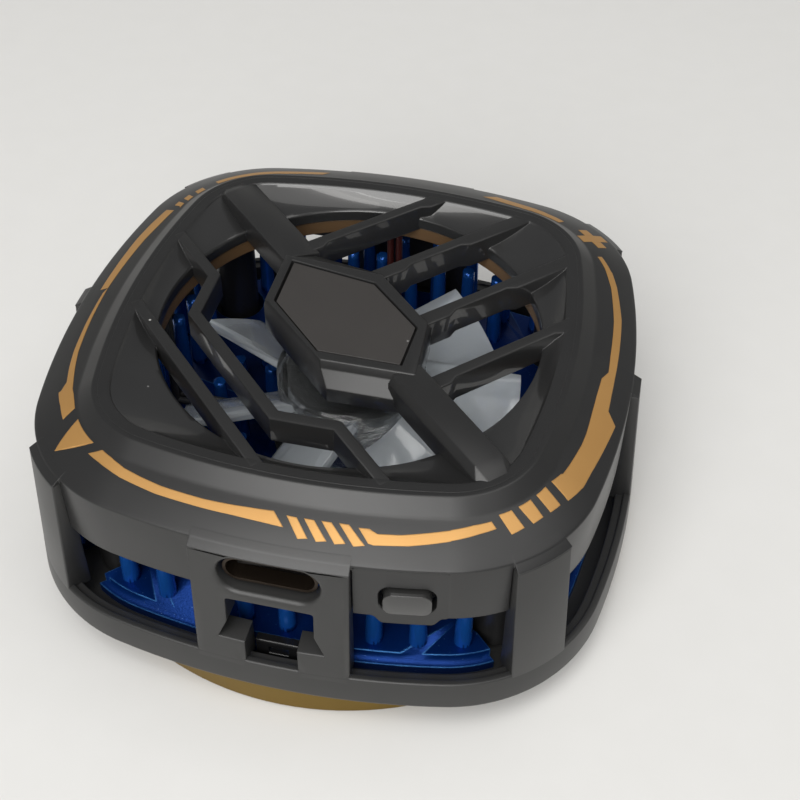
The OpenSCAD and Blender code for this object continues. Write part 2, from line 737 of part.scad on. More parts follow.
// Heatsink pins: tall tapered pins round the edge and short ones under the fan, pressed onto the base
module cooling_pin(height) {
    translate([0, 0, base_top]) cylinder(r1 = pin_foot, r2 = pin_r, h = height, $fn = 24);
}
module heatsink_pins() {
    outer_row = base_w - step_in - pin_edge;
    second_row = outer_row - pin_pitch * 0.94;
    color("#2450b8") {
        for (side = [0:3]) rotate(90 * side) {
            for (i = [-4:4]) translate([i * pin_pitch, -outline_y(i * pin_pitch, outer_row), 0])
                cooling_pin(pin_h);
            for (i = [-4:3]) let (x = (i + 0.5) * pin_pitch * 0.82)
                translate([x, -outline_y(x, second_row), 0]) cooling_pin(pin_h);
        }
        for (row = [[0.8, 24], [0.38, 20]]) for (i = [0:row[1] - 1])
            rotate((i + 0.5) * 360 / row[1]) translate([boss_r + row[0] * (fan_r - boss_r), 0, 0])
                cooling_pin(short_pin_h);
    }
}

module clamp_screws() {
    color("#b9bcc2") at_clamps() translate([0, 0, base_top])
        screw(base_top - 0.5, screw_r - 0.05, 1.5 * screw_r, screw_head_h);
}

// Fan motor, fixed half
module motor_base() {
    color("#202124") difference() {
        translate([0, 0, motor_z]) cylinder(r = boss_r - 0.3, h = motor_base_t);
        at_motor_screws() translate([0, 0, motor_z - 1])
            cylinder(r = motor_thread_r + 0.1, h = motor_base_t + 2);
    }
}
module motor_screws() {
    color("#b9bcc2") at_motor_screws() translate([0, 0, motor_top])
        screw(motor_base_t + motor_thread_l - 0.2, motor_thread_r - 0.03, screw_r, screw_head_h * 0.7);
}
module motor_board() {
    color("#1f5a3a") ring(tube_r + clear, stator_r + 1, motor_top, motor_top + motor_board_t);
}
module bearing_tube() {
    color("#b8953f") ring(sleeve_r + eps, tube_r, motor_top, tube_top);
}
module sleeve_bearing() {
    color("#a9782f") ring(shaft_r + shaft_fit, sleeve_r, sleeve_z, sleeve_top);
}
module thrust_washer() {
    color("#dedede") translate([0, 0, motor_top]) cylinder(r = sleeve_r - clear, h = washer_t - eps);
}
module stator_core() {
    tip = 0.089 * hub_r;
    color("#8a8c90") translate([0, 0, stator_z]) linear_extrude(stator_h) difference() {
        union() {
            circle(r = tube_r + 0.8);
            intersection() {
                union() for (turn = [0:90:270]) rotate(turn) {
                    translate([0, -tooth_w / 2]) square([stator_r, tooth_w]);
                    translate([stator_r - tip, -shoe_w / 2]) square([tip + 1, shoe_w]);
                }
                circle(r = stator_r);
            }
        }
        circle(r = tube_r + clear);
    }
}
module stator_coils() {
    from = tube_r + 0.12 * hub_r;
    to = stator_r - 0.108 * hub_r;
    over = 0.75;
    color("#b9682a") for (turn = [0:90:270]) rotate(turn) translate([from, 0, stator_z - over])
        difference() {
            translate([0, -coil_w / 2, 0]) cube([to - from, coil_w, stator_h + 2 * over]);
            translate([-1, -tooth_w / 2 - clear, over - clear])
                cube([to, tooth_w + 2 * clear, stator_h + 2 * clear]);
        }
}

// Fan rotor
module blade() {
    intersection() {
        translate([0, 0, blade_mid]) rotate([blade_pitch, 0, 0])
            translate([0, -blade_chord / 2, -blade_t / 2]) cube([fan_r + 4, blade_chord, blade_t]);
        ring(hub_r - 0.3, fan_r, hub_z, hub_top);
    }
}
module impeller() {
    color([0.85, 0.9, 0.95, 0.55]) difference() {
        union() {
            translate([0, 0, hub_z]) cylinder(r = hub_r, h = hub_h);
            for (i = [0:blade_n - 1]) rotate(i * 360 / blade_n) blade();
        }
        translate([0, 0, hub_z - 1]) cylinder(r = hub_r - hub_wall, h = yoke_top - hub_z + 1);
        translate([0, 0, hub_z]) cylinder(r = shaft_r + eps, h = shaft_top + clear - hub_z);
    }
}
module rotor_yoke() {
    color("#c2c4c8") difference() {
        translate([0, 0, hub_z]) cylinder(r = yoke_r, h = yoke_top - hub_z);
        translate([0, 0, hub_z - 1]) cylinder(r = yoke_r - yoke_t, h = yoke_top - yoke_t - hub_z + 1);
        translate([0, 0, hub_z]) cylinder(r = shaft_r + eps, h = hub_h);
    }
}
module rotor_magnet() {
    color("#37383c")
        ring(rotor_magnet_r - magnet_t, rotor_magnet_r, hub_z + 0.2, stator_z + stator_h + 0.3);
}
module shaft() {
    groove = 0.15;
    color("#d5d7da") difference() {
        translate([0, 0, shaft_z]) cylinder(r = shaft_r, h = shaft_top - shaft_z);
        ring(shaft_r - groove, shaft_r + 1, shaft_z + 0.25, shaft_z + 0.55);
    }
}
module shaft_clip() {
    color("#f0efe8") ring(shaft_r - 0.13, sleeve_r - 0.25, shaft_z + 0.27, shaft_z + 0.53);
}

// Control board and what is on it
module control_board() {
    color("#b98d54") difference() {
        translate([0, 0, board_z]) linear_extrude(board_t) outline(board_w);
        translate([0, 0, board_z - 1]) cylinder(r = duct_r + 0.2, h = board_t + 2);
        at_posts() translate([0, 0, board_z - 1]) cylinder(r = post_r + 0.2, h = board_t + 2);
        at_board_screws() translate([0, 0, board_z - 1])
            cylinder(r = board_thread_r + 0.1, h = board_t + 2);
    }
}
module board_screws() {
    color("#b9bcc2") at_board_screws() translate([0, 0, board_z]) rotate([180, 0, 0])
        screw(board_t + board_thread_l, board_thread_r - 0.04, screw_r * 1.5, screw_head_h);
}
module hung_box(x, y, size) {
    translate([x - size[0] / 2, y - size[1] / 2, board_z - size[2]]) cube(size);
}
module control_chip() {
    color("#18191b")
        hung_box(0.47 * post_xy, board_mid, [0.8 * board_land, 0.68 * board_land, usb_h / 3]);
}
module power_inductor() {
    color("#3d3e40")
        hung_box(-0.47 * post_xy, board_mid, [0.8 * board_land, 0.68 * board_land, 0.7 * usb_h]);
}
module board_capacitors() {
    color("#b48a5a") for (share = [-0.65, 0.65, 0.75])
        hung_box(share * post_xy, board_mid - 0.3 * board_land,
            [board_land / 5, 0.36 * board_land, usb_h / 4]);
}

module usb_shell() {
    color("#c5c7ca") difference() {
        translate([0, -usb_y, port_z]) rotate([-90, 0, 0]) linear_extrude(usb_l)
            rounded([usb_w, usb_h], usb_h / 2 - 0.05);
        translate([0, -usb_y - 1, port_z]) rotate([-90, 0, 0]) linear_extrude(usb_l + 1 - usb_wall)
            rounded([usb_w - 2 * usb_wall, usb_h - 2 * usb_wall], usb_h / 2 - usb_wall - 0.05);
    }
}
module usb_tongue() {
    root = 0.22 * usb_l;
    back = usb_l - usb_wall - clear;
    mouth = usb_l / 8;
    tongue_w = 0.75 * usb_w;
    tongue_t = 0.22 * usb_h;
    root_w = 0.83 * usb_w;
    root_h = 0.6 * usb_h;
    color("#1b1c1e") {
        translate([-tongue_w / 2, mouth - usb_y, port_z - tongue_t / 2])
            cube([tongue_w, back - mouth, tongue_t]);
        translate([-root_w / 2, back - root - usb_y, port_z - root_h / 2]) cube([root_w, root, root_h]);
    }
}

module switch_body() {
    color("#d8d8d6") at_button() difference() {
        translate([switch_face - switch_d, -switch_w / 2, button_z - switch_below])
            cube([switch_d, switch_w, board_z - button_z + switch_below]);
        translate([switch_face - plunger_sink, 0, button_z]) rotate([0, 90, 0])
            cylinder(r = plunger_r + 0.1, h = plunger_l);
    }
}
module switch_plunger() {
    foot = button_travel + plunger_room;
    color("#1f2022") at_button() translate([switch_face - plunger_sink + foot, 0, button_z])
        rotate([0, 90, 0]) cylinder(r = plunger_r, h = plunger_l - foot);
}
module button_cap() {
    color("#3a3a3c") at_button() {
        facing_plate(flange_w - clear, panel_w + button_proud, button_z, [button_w, button_h], cap_round);
        facing_plate(flange_w - flange_t, flange_w, button_z,
            [button_w + 2 * flange_lap, button_h + 2 * flange_lap - 0.2], cap_round);
        translate([flange_w - flange_t - nub_l, 0, button_z]) rotate([0, 90, 0])
            cylinder(r = nub_r, h = nub_l + eps);
    }
}

module case_screws() {
    color("#b9bcc2") at_posts() translate([0, 0, disc_h + screw_head_h]) rotate([180, 0, 0])
        screw(case_thread_l, screw_r - 0.05, screw_head_r, screw_head_h);
}

// Insulated leads: down to the thermoelectric module, and across to the fan motor
module tec_leads() {
    low = tec_z + tec_h / 2;
    color("#a32a22") for (x = [-lead_gap, lead_gap]) translate([x, 0, 0]) {
        translate([0, lead_run, low]) cylinder(r = lead_r, h = board_z - low);
        translate([0, tec_side / 2 + clear, low]) rotate([-90, 0, 0])
            cylinder(r = lead_r, h = lead_run - tec_side / 2 - clear);
        translate([0, lead_run, low]) sphere(r = lead_r);
    }
}
module fan_leads() {
    low = motor_top + lead_r;
    color("#303236") for (y = [-lead_gap, lead_gap]) translate([0, y, 0]) {
        translate([-lead_run, 0, low]) cylinder(r = lead_r, h = board_z - low);
        translate([-lead_run, 0, low]) rotate([0, 90, 0])
            cylinder(r = lead_r, h = lead_run - stator_r - 1 - clear);
        translate([-lead_run, 0, low]) sphere(r = lead_r);
    }
}

top_bezel();
fan_grille();
badge_plate();
lower_shell();
magnet_carrier();
ring_magnets();
cold_plate();
tec_cold_ceramic();
tec_hot_ceramic();
tec_legs();
insulation_gasket();
heatsink_base();
heatsink_pins();
clamp_screws();
motor_base();
motor_screws();
motor_board();
bearing_tube();
sleeve_bearing();
thrust_washer();
stator_core();
stator_coils();
impeller();
rotor_yoke();
rotor_magnet();
shaft();
shaft_clip();
control_board();
board_screws();
control_chip();
power_inductor();
board_capacitors();
usb_shell();
usb_tongue();
switch_body();
switch_plunger();
button_cap();
case_screws();
tec_leads();
fan_leads();
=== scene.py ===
"""Phone cooling fan: the looks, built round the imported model.

The shapes below are worked out in millimetres in the frame of the model: Z = 0 is the contact face,
+Z is the fan axis, the charging socket faces -Y. They become metres when a mesh is made.
"""
from __future__ import annotations

import json
import logging
import math
from dataclasses import dataclass, field
from enum import Enum

import bmesh
import bpy
import numpy as np
from mathutils import Matrix, Vector
from mathutils.geometry import delaunay_2d_cdt

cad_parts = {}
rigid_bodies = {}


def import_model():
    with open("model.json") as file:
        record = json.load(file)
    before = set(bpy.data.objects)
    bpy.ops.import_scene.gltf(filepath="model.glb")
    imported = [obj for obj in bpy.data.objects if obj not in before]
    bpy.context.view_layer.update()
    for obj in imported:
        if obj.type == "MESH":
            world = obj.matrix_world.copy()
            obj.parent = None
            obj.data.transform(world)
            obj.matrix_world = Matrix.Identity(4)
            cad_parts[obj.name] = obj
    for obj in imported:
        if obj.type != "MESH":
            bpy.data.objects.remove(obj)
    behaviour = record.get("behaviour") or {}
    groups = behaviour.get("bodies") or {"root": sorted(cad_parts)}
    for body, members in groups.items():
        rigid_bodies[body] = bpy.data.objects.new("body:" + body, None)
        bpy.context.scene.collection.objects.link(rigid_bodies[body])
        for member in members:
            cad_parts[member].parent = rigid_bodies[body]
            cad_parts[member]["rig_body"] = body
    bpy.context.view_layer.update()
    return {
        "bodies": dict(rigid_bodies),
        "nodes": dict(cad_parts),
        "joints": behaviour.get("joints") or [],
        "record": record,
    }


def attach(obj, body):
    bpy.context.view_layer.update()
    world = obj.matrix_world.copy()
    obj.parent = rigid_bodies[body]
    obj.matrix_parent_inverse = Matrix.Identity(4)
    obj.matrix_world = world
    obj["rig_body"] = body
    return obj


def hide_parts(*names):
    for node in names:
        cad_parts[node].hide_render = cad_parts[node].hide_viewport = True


LOG = logging.getLogger("cooling_fan")
MM = 1e-3
Array = np.ndarray
Marks = tuple[tuple[tuple[float, float, float, float], ...], ...]


class Body(Enum):
    """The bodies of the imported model."""

    CASE = "case"
    ROTOR = "rotor"
    BUTTON = "button"


class Face(Enum):
    """Which finish a face of a two-finish piece takes."""

    SATIN = 0
    GLOSS = 1


@dataclass(frozen=True)
class CaseOutline:
    """Rounded square made of four side arcs and four corner arcs that meet without a kink.

    A half size w moves every arc out or in along its own normal, so outlines of all sizes are parallel.
    """

    half_width: float = 30.0
    side_radius: float = 79.4
    corner_radius: float = 15.66

    @property
    def side_centre(self) -> float:
        """Distance from the middle to the centre of a side arc, negative as it lies on the far side."""
        return self.half_width - self.side_radius

    @property
    def corner_centre(self) -> float:
        """Place of a corner arc's centre along X and along Y."""
        k = self.side_centre
        return (k + math.sqrt(2 * (self.side_radius - self.corner_radius) ** 2 - k * k)) / 2

    @property
    def side_angle(self) -> float:
        """Half of the angle that a side arc spans, in degrees."""
        return math.degrees(math.atan2(self.corner_centre, self.corner_centre - self.side_centre))

    def at(self, turn: Array, w: Array) -> tuple[Array, Array]:
        """Point of the outline of half size w where its normal points to an angle.

        The normal picks the arc: near an axis it is the side arc, and otherwise the corner arc. The
        point is the arc's centre plus its radius along the normal.

        Args:
            turn: angles of the normal in degrees, 0 along +X.
            w: half sizes, of a shape that goes with turn.

        Returns:
            The X and the Y of the points.
        """
        turn, w = np.broadcast_arrays(np.asarray(turn, float), np.asarray(w, float))
        quarter = np.round(turn / 90.0)
        local = turn - 90.0 * quarter
        rad = np.radians(local)
        on_side = np.abs(local) <= self.side_angle
        shift = self.corner_radius - self.half_width
        radius = np.where(on_side, w - self.side_centre, w + shift)
        cx = np.where(on_side, self.side_centre, self.corner_centre)
        cy = np.where(on_side, 0.0, np.sign(local) * self.corner_centre)
        x, y = cx + radius * np.cos(rad), cy + radius * np.sin(rad)
        a = np.radians(90.0 * quarter)
        return x * np.cos(a) - y * np.sin(a), x * np.sin(a) + y * np.cos(a)

    def radius_at(self, polar: Array, w: float) -> Array:
        """Distance of the outline from the middle along polar angles.

        Args:
            polar: angles in degrees.
            w: half size of the outline.

        Returns:
            The distances, by cutting the ray with the side arc or with the corner arc.
        """
        t = np.radians(np.abs((np.asarray(polar, float) + 45.0) % 90.0 - 45.0))
        k, c = self.side_centre, self.corner_centre
        reach = w - k
        end = math.atan2(reach * math.sin(math.radians(self.side_angle)),
                         k + reach * math.cos(math.radians(self.side_angle)))
        side = k * np.cos(t) + np.sqrt(np.maximum(reach ** 2 - (k * np.sin(t)) ** 2, 0.0))
        corner_r = w + self.corner_radius - self.half_width
        skew = c * (np.sin(t) - np.cos(t))
        corner = c * (np.cos(t) + np.sin(t)) + np.sqrt(np.maximum(corner_r ** 2 - skew ** 2, 0.0))
        return np.where(t <= end, side, corner)

    def turns(self, side_steps: int = 16, corner_steps: int = 30) -> Array:
        """Normal angles for the whole way round, dense on the corners.

        Args:
            side_steps: steps along each side arc.
            corner_steps: steps along each corner arc.

        Returns:
            Angles in degrees from the start of one side arc, without the last, equal to the first.
        """
        a = self.side_angle
        quarter = np.concatenate([np.linspace(-a, a, side_steps, endpoint=False),
                                  np.linspace(a, 90.0 - a, corner_steps, endpoint=False)])
        return np.concatenate([quarter + 90.0 * i for i in range(4)])

    def turns_between(self, start: float, stop: float, step: float = 1.6) -> Array:
        """Normal angles from one to another, both kept, with an even step of about step degrees."""
        return np.linspace(start, stop, max(3, int(abs(stop - start) / step) + 1))


OUTLINE = CaseOutline()


def rounded(points: list[tuple[float, float]], radii: list[float], steps: int = 5) -> Array:
    """Closed outline whose corners are arcs.

    Each corner is cut back along both edges by radius over the tangent of its half angle and bridged by
    a curve whose control point is the corner, which is close to the arc for such angles.

    Args:
        points: corners in order.
        radii: radius of each corner, 0 for a sharp one.
        steps: segments of each rounded corner.

    Returns:
        The points of the outline, as an array of pairs.
    """
    p = np.asarray(points, float)
    out: list[Array] = []
    t = np.linspace(0.0, 1.0, steps + 1)[:, None]
    for here, before, after, r in zip(p, np.roll(p, 1, 0), np.roll(p, -1, 0), radii):
        if r <= 0:
            out.append(here[None, :])
            continue
        a, b = before - here, after - here
        la, lb = np.linalg.norm(a), np.linalg.norm(b)
        half = math.acos(float(np.clip(a @ b / (la * lb), -1, 1))) / 2
        cut = min(r / math.tan(half), 0.49 * la, 0.49 * lb)
        p0, p1 = here + a / la * cut, here + b / lb * cut
        weight = math.sin(half)
        bern0, bern1, bern2 = (1 - t) ** 2, 2 * t * (1 - t) * weight, t ** 2
        out.append((bern0 * p0 + bern1 * here + bern2 * p1) / (bern0 + bern1 + bern2))
    return np.concatenate(out)


def inset(outline: Array, by: float) -> Array:
    """Outline moved inwards by a distance, each corner along its mitre.

    Args:
        outline: corners of a closed outline, anticlockwise.
        by: distance, positive inwards.

    Returns:
        As many points as the outline has.
    """
    edge = np.roll(outline, -1, 0) - outline
    edge /= np.maximum(np.linalg.norm(edge, axis=1, keepdims=True), 1e-9)
    normal = np.stack([-edge[:, 1], edge[:, 0]], 1)
    before = np.roll(normal, 1, 0)
    mitre = normal + before
    scale = by / np.maximum(1.0 + np.sum(normal * before, 1), 0.25)
    return outline + mitre * scale[:, None]


@dataclass
class Shell:
    """Vertices and faces that are gathered from grids and caps, with a finish number for each face."""

    points: list[Array] = field(default_factory=list)
    faces: list[tuple[int, ...]] = field(default_factory=list)
    finish: list[int] = field(default_factory=list)
    count: int = 0

    def grid(self, p: Array, wrap_u: bool, wrap_v: bool, finish: Face | Array = Face.SATIN) -> None:
        """Adds a surface of two parameters.

        Args:
            p: points, one row for each step of u, three numbers for each step of v.
            wrap_u: whether the last row joins the first.
            wrap_v: whether the last column joins the first.
            finish: the finish of all faces, or a number for each step of v.
        """
        nu, nv = p.shape[:2]
        i = np.arange(nu if wrap_u else nu - 1)
        j = np.arange(nv if wrap_v else nv - 1)
        a, b = np.meshgrid(i, j, indexing="ij")
        a2, b2 = (a + 1) % nu, (b + 1) % nv
        quads = np.stack([a * nv + b, a2 * nv + b, a2 * nv + b2, a * nv + b2], -1).reshape(-1, 4) + self.count
        self.faces.extend(map(tuple, quads.tolist()))
        if isinstance(finish, Face):
            self.finish.extend([finish.value] * len(quads))
        else:
            self.finish.extend(np.broadcast_to(finish[: len(j)], (len(i), len(j))).reshape(-1).tolist())
        self.points.append(p.reshape(-1, 3))
        self.count += nu * nv

    def cap(self, loop: Array, finish: Face = Face.SATIN, flip: bool = False) -> None:
        """Adds one flat face over a loop of points."""
        ids = list(range(self.count, self.count + len(loop)))
        self.faces.append(tuple(reversed(ids)) if flip else tuple(ids))
        self.finish.append(finish.value)
        self.points.append(loop)
        self.count += len(loop)

    def object(self, name: str, finishes: list[bpy.types.Material], sharp: float = 32.0,
               bevel: float = 0.0) -> bpy.types.Object:
        """Makes the object, in metres, with doubles merged and shading smooth below an angle.

        Args:
            name: name of the piece.
            finishes: materials in the order of Face.
            sharp: angle in degrees from which an edge stays sharp.
            bevel: width of the rounding of sharp edges, 0 for none.

        Returns:
            The new object, linked to the scene.
        """
        mesh = bpy.data.meshes.new(name)
        mesh.from_pydata((np.concatenate(self.points) * MM).tolist(), [], self.faces)
        for material in finishes:
            mesh.materials.append(material)
        mesh.polygons.foreach_set("material_index", np.asarray(self.finish, np.int32))
        return place(mesh, name, sharp, bevel)


def place(mesh: bpy.types.Mesh, name: str, sharp: float, bevel: float = 0.0) -> bpy.types.Object:
    """Merges a mesh's doubles, points its faces outwards, shades it and links an object that holds it.

    Args:
        mesh: the mesh, in metres.
        name: name of the piece.
        sharp: angle in degrees from which an edge stays sharp.
        bevel: width in millimetres of the rounding of sharp edges, 0 for none.

    Returns:
        The object, at the origin.
    """
    work = bmesh.new()
    work.from_mesh(mesh)
    bmesh.ops.remove_doubles(work, verts=work.verts, dist=2e-7)
    bmesh.ops.dissolve_degenerate(work, edges=work.edges, dist=1e-8)
    bmesh.ops.recalc_face_normals(work, faces=work.faces)
    if bevel:
        hard = [e for e in work.edges if e.is_manifold and e.calc_face_angle(0.0) > math.radians(sharp)]
        bmesh.ops.bevel(work, geom=hard, offset=bevel * MM, segments=3, profile=0.5, affect="EDGES",
                        clamp_overlap=True)
    work.to_mesh(mesh)
    work.free()
    mesh.polygons.foreach_set("use_smooth", np.ones(len(mesh.polygons), bool))
    mesh.set_sharp_from_angle(angle=math.radians(sharp))
    mesh.update()
    made = bpy.data.objects.new(name, mesh)
    bpy.context.scene.collection.objects.link(made)
    return made


def swept(turns: Array, profile: Array) -> Array:
    """Points of a profile carried along the outline: the outline point of its half size, at its height.

    Args:
        turns: normal angles along the way.
        profile: pairs of half size and height.

    Returns:
        One row for each angle, three numbers for each point of the profile.
    """
    x, y = OUTLINE.at(turns[:, None], profile[None, :, 0])
    z = np.broadcast_to(profile[None, :, 1], x.shape)
    return np.stack([x, y, z], -1)


def sweep_solid(shell: Shell, turns: Array, profile: Array, closed: bool) -> None:
    """Adds a closed profile carried along the outline, with end caps where it does not close on itself."""
    p = swept(turns, profile)
    shell.grid(p, closed, True)
    if not closed:
        shell.cap(p[0])
        shell.cap(p[-1], flip=True)


def prism(shell: Shell, outline: Array, bottom: float, top: float, edge: float,
          sides: Face = Face.GLOSS) -> None:
    """Adds an upright prism whose top edge is rounded over.

    The wall rows are the outline at the bottom and below the edge; then quarter-circle rows move it in and
    up; the last row is capped.

    Args:
        shell: where it goes.
        outline: corners, anticlockwise.
        bottom: lowest height.
        top: highest height.
        edge: radius of the rounded top edge.
        sides: finish of the walls.
    """
    arc = np.linspace(0.0, math.pi / 2, 4)
    rows = [np.column_stack([outline, np.full(len(outline), bottom)])]
    for a in arc:
        flat = inset(outline, edge * (1 - math.cos(a)))
        rows.append(np.column_stack([flat, np.full(len(outline), top - edge + edge * math.sin(a))]))
    p = np.stack(rows, 1)
    finish = np.array([sides.value] + [Face.SATIN.value] * (len(rows) - 2))
    shell.grid(p, True, False, finish)
    shell.cap(rows[-1])
    shell.cap(rows[0], sides, flip=True)


def lathe(shell: Shell, profile: Array, centre: tuple[float, float], steps: int = 48) -> None:
    """Adds a turned shape: a profile of radius and height carried round a vertical axis."""
    a = np.linspace(0.0, 2 * math.pi, steps, endpoint=False)[:, None]
    x = centre[0] + profile[None, :, 0] * np.cos(a)
    y = centre[1] + profile[None, :, 0] * np.sin(a)
    z = np.broadcast_to(profile[None, :, 1], x.shape)
    shell.grid(np.stack([x, y, z], -1), True, False)


def hull(name: str, corners: Array, looks: list[bpy.types.Material], bevel: float) -> bpy.types.Object:
    """Makes the solid that wraps a set of corners, with its edges rounded off.

    Args:
        name: name of the piece.
        corners: points in millimetres.
        looks: materials in the order of Face.
        bevel: width of the rounded edges.

    Returns:
        The object.
    """
    work = bmesh.new()
    for corner in (corners * MM).tolist():
        work.verts.new(corner)
    made = bmesh.ops.convex_hull(work, input=work.verts)
    bmesh.ops.delete(work, geom=list({v for v in made["geom_interior"] if isinstance(v, bmesh.types.BMVert)}),
                     context="VERTS")
    bmesh.ops.dissolve_limit(work, angle_limit=math.radians(1.0), verts=work.verts, edges=work.edges)
    mesh = bpy.data.meshes.new(name)
    work.to_mesh(mesh)
    work.free()
    for look in looks:
        mesh.materials.append(look)
    return place(mesh, name, 24.0, bevel)


def inside(points: Array, outline: Array) -> Array:
    """Whether points lie inside a closed outline, by counting the edges that a ray crosses.

    Args:
        points: points of the plane.
        outline: the loop.

    Returns:
        True for each point in the loop.
    """
    a, b = outline, np.roll(outline, -1, 0)
    x, y = points[:, 0:1], points[:, 1:2]
    spans = (a[:, 1] > y) != (b[:, 1] > y)
    rise = np.where(np.abs(b[:, 1] - a[:, 1]) < 1e-12, 1e-12, b[:, 1] - a[:, 1])
    cross = (b[:, 0] - a[:, 0]) * (y - a[:, 1]) / rise + a[:, 0]
    return np.count_nonzero(spans & (x < cross), axis=1) % 2 == 1


@dataclass
class SidePanel:
    """A thick panel that follows one side of the case, drawn flat as length along the side and height.

    Each skin is a triangulation of the outline less its holes, with the points of an even grid added so that
    it follows the bow of the side. Rounded rows join the skins round every outline.
    """

    middle: float
    w_in: float
    w_low: float
    w_high: float
    z_low: float
    z_high: float
    edge: float = 0.15
    tuck: float = 0.0

    def w_out(self, z: Array) -> Array:
        """Half size of the outer skin at heights: a straight lean that tucks in over its last 0.8 mm."""
        t = (z - self.z_low) / (self.z_high - self.z_low)
        under = np.clip((self.z_low + 0.8 - z) / 0.8, 0.0, 1.0)
        return self.w_low + (self.w_high - self.w_low) * t - self.tuck * under ** 2

    def place_on(self, flat: Array, w: Array) -> Array:
        """Points of the flat drawing at half sizes w."""
        turn = self.middle + np.degrees(flat[:, 0] / (self.w_high - OUTLINE.side_centre))
        x, y = OUTLINE.at(turn, w)
        return np.column_stack([x, y, flat[:, 1]])

    def skin(self, outline: Array, holes: list[Array], pitch: float = 0.7) -> tuple[Array, Array]:
        """Triangulates the outline less its holes.

        Args:
            outline: outer loop, anticlockwise.
            holes: loops of the holes, anticlockwise.
            pitch: spacing of the grid points that are added.

        Returns:
            The points and the triangles.
        """
        low, high = outline.min(0), outline.max(0)
        gx, gz = np.meshgrid(np.arange(low[0], high[0], pitch) + 0.31 * pitch,
                             np.arange(low[1], high[1], pitch) + 0.37 * pitch)
        grid = np.column_stack([gx.ravel(), gz.ravel()])
        keep = inside(grid, inset(outline, 0.15))
        for hole in holes:
            keep &= ~inside(grid, inset(hole, -0.15))
        loops = [outline, *holes]
        starts = np.cumsum([0] + [len(loop) for loop in loops])
        edges = [(int(s + i), int(s + (i + 1) % len(loop))) for s, loop in zip(starts, loops)
                 for i in range(len(loop))]
        points = np.concatenate([*loops, grid[keep]])
        done = delaunay_2d_cdt([Vector(p) for p in points.tolist()], edges, [], 0, 1e-7)
        flat, faces = np.array([tuple(v) for v in done[0]]), np.array([f for f in done[2]])
        middle = flat[faces].mean(1)
        good = inside(middle, outline)
        for hole in holes:
            good &= ~inside(middle, hole)
        return flat, faces[good]

    def add(self, shell: Shell, outline: Array, holes: list[Array], lips: list[float] | None = None,
            back: Array | None = None) -> None:
        """Adds the panel.

        Args:
            shell: where it goes.
            outline: outer loop, anticlockwise.
            holes: loops of the holes, anticlockwise.
            lips: width of the rounded lip of each hole.
            back: outer loop of the inner skin, if it differs.
        """
        back = outline if back is None else back
        lips = lips or [self.edge] * len(holes)
        fronts = [inset(outline, self.edge)] + [inset(h, -lip) for h, lip in zip(holes, lips)]
        for skin_outline, skin_holes, outer in ((fronts[0], fronts[1:], True), (back, holes, False)):
            flat, faces = self.skin(skin_outline, skin_holes)
            w = self.w_out(flat[:, 1]) if outer else np.full(len(flat), self.w_in)
            shell.points.append(self.place_on(flat, w))
            shell.faces.extend(map(tuple, (faces + shell.count).tolist()))
            shell.finish.extend([Face.SATIN.value] * len(faces))
            shell.count += len(flat)
        for loop, end, lip, sign in zip([outline, *holes], [back, *holes], [self.edge, *lips],
                                        [1.0] + [-1.0] * len(holes)):
            rows = []
            for a in np.linspace(0.0, math.pi / 2, 5):
                flat = inset(loop, sign * lip * (1 - math.sin(a)))
                rows.append(self.place_on(flat, self.w_out(flat[:, 1]) - lip * (1 - math.cos(a))))
            rows.append(self.place_on(end, np.full(len(end), self.w_in)))
            shell.grid(np.stack(rows, 1), True, False)


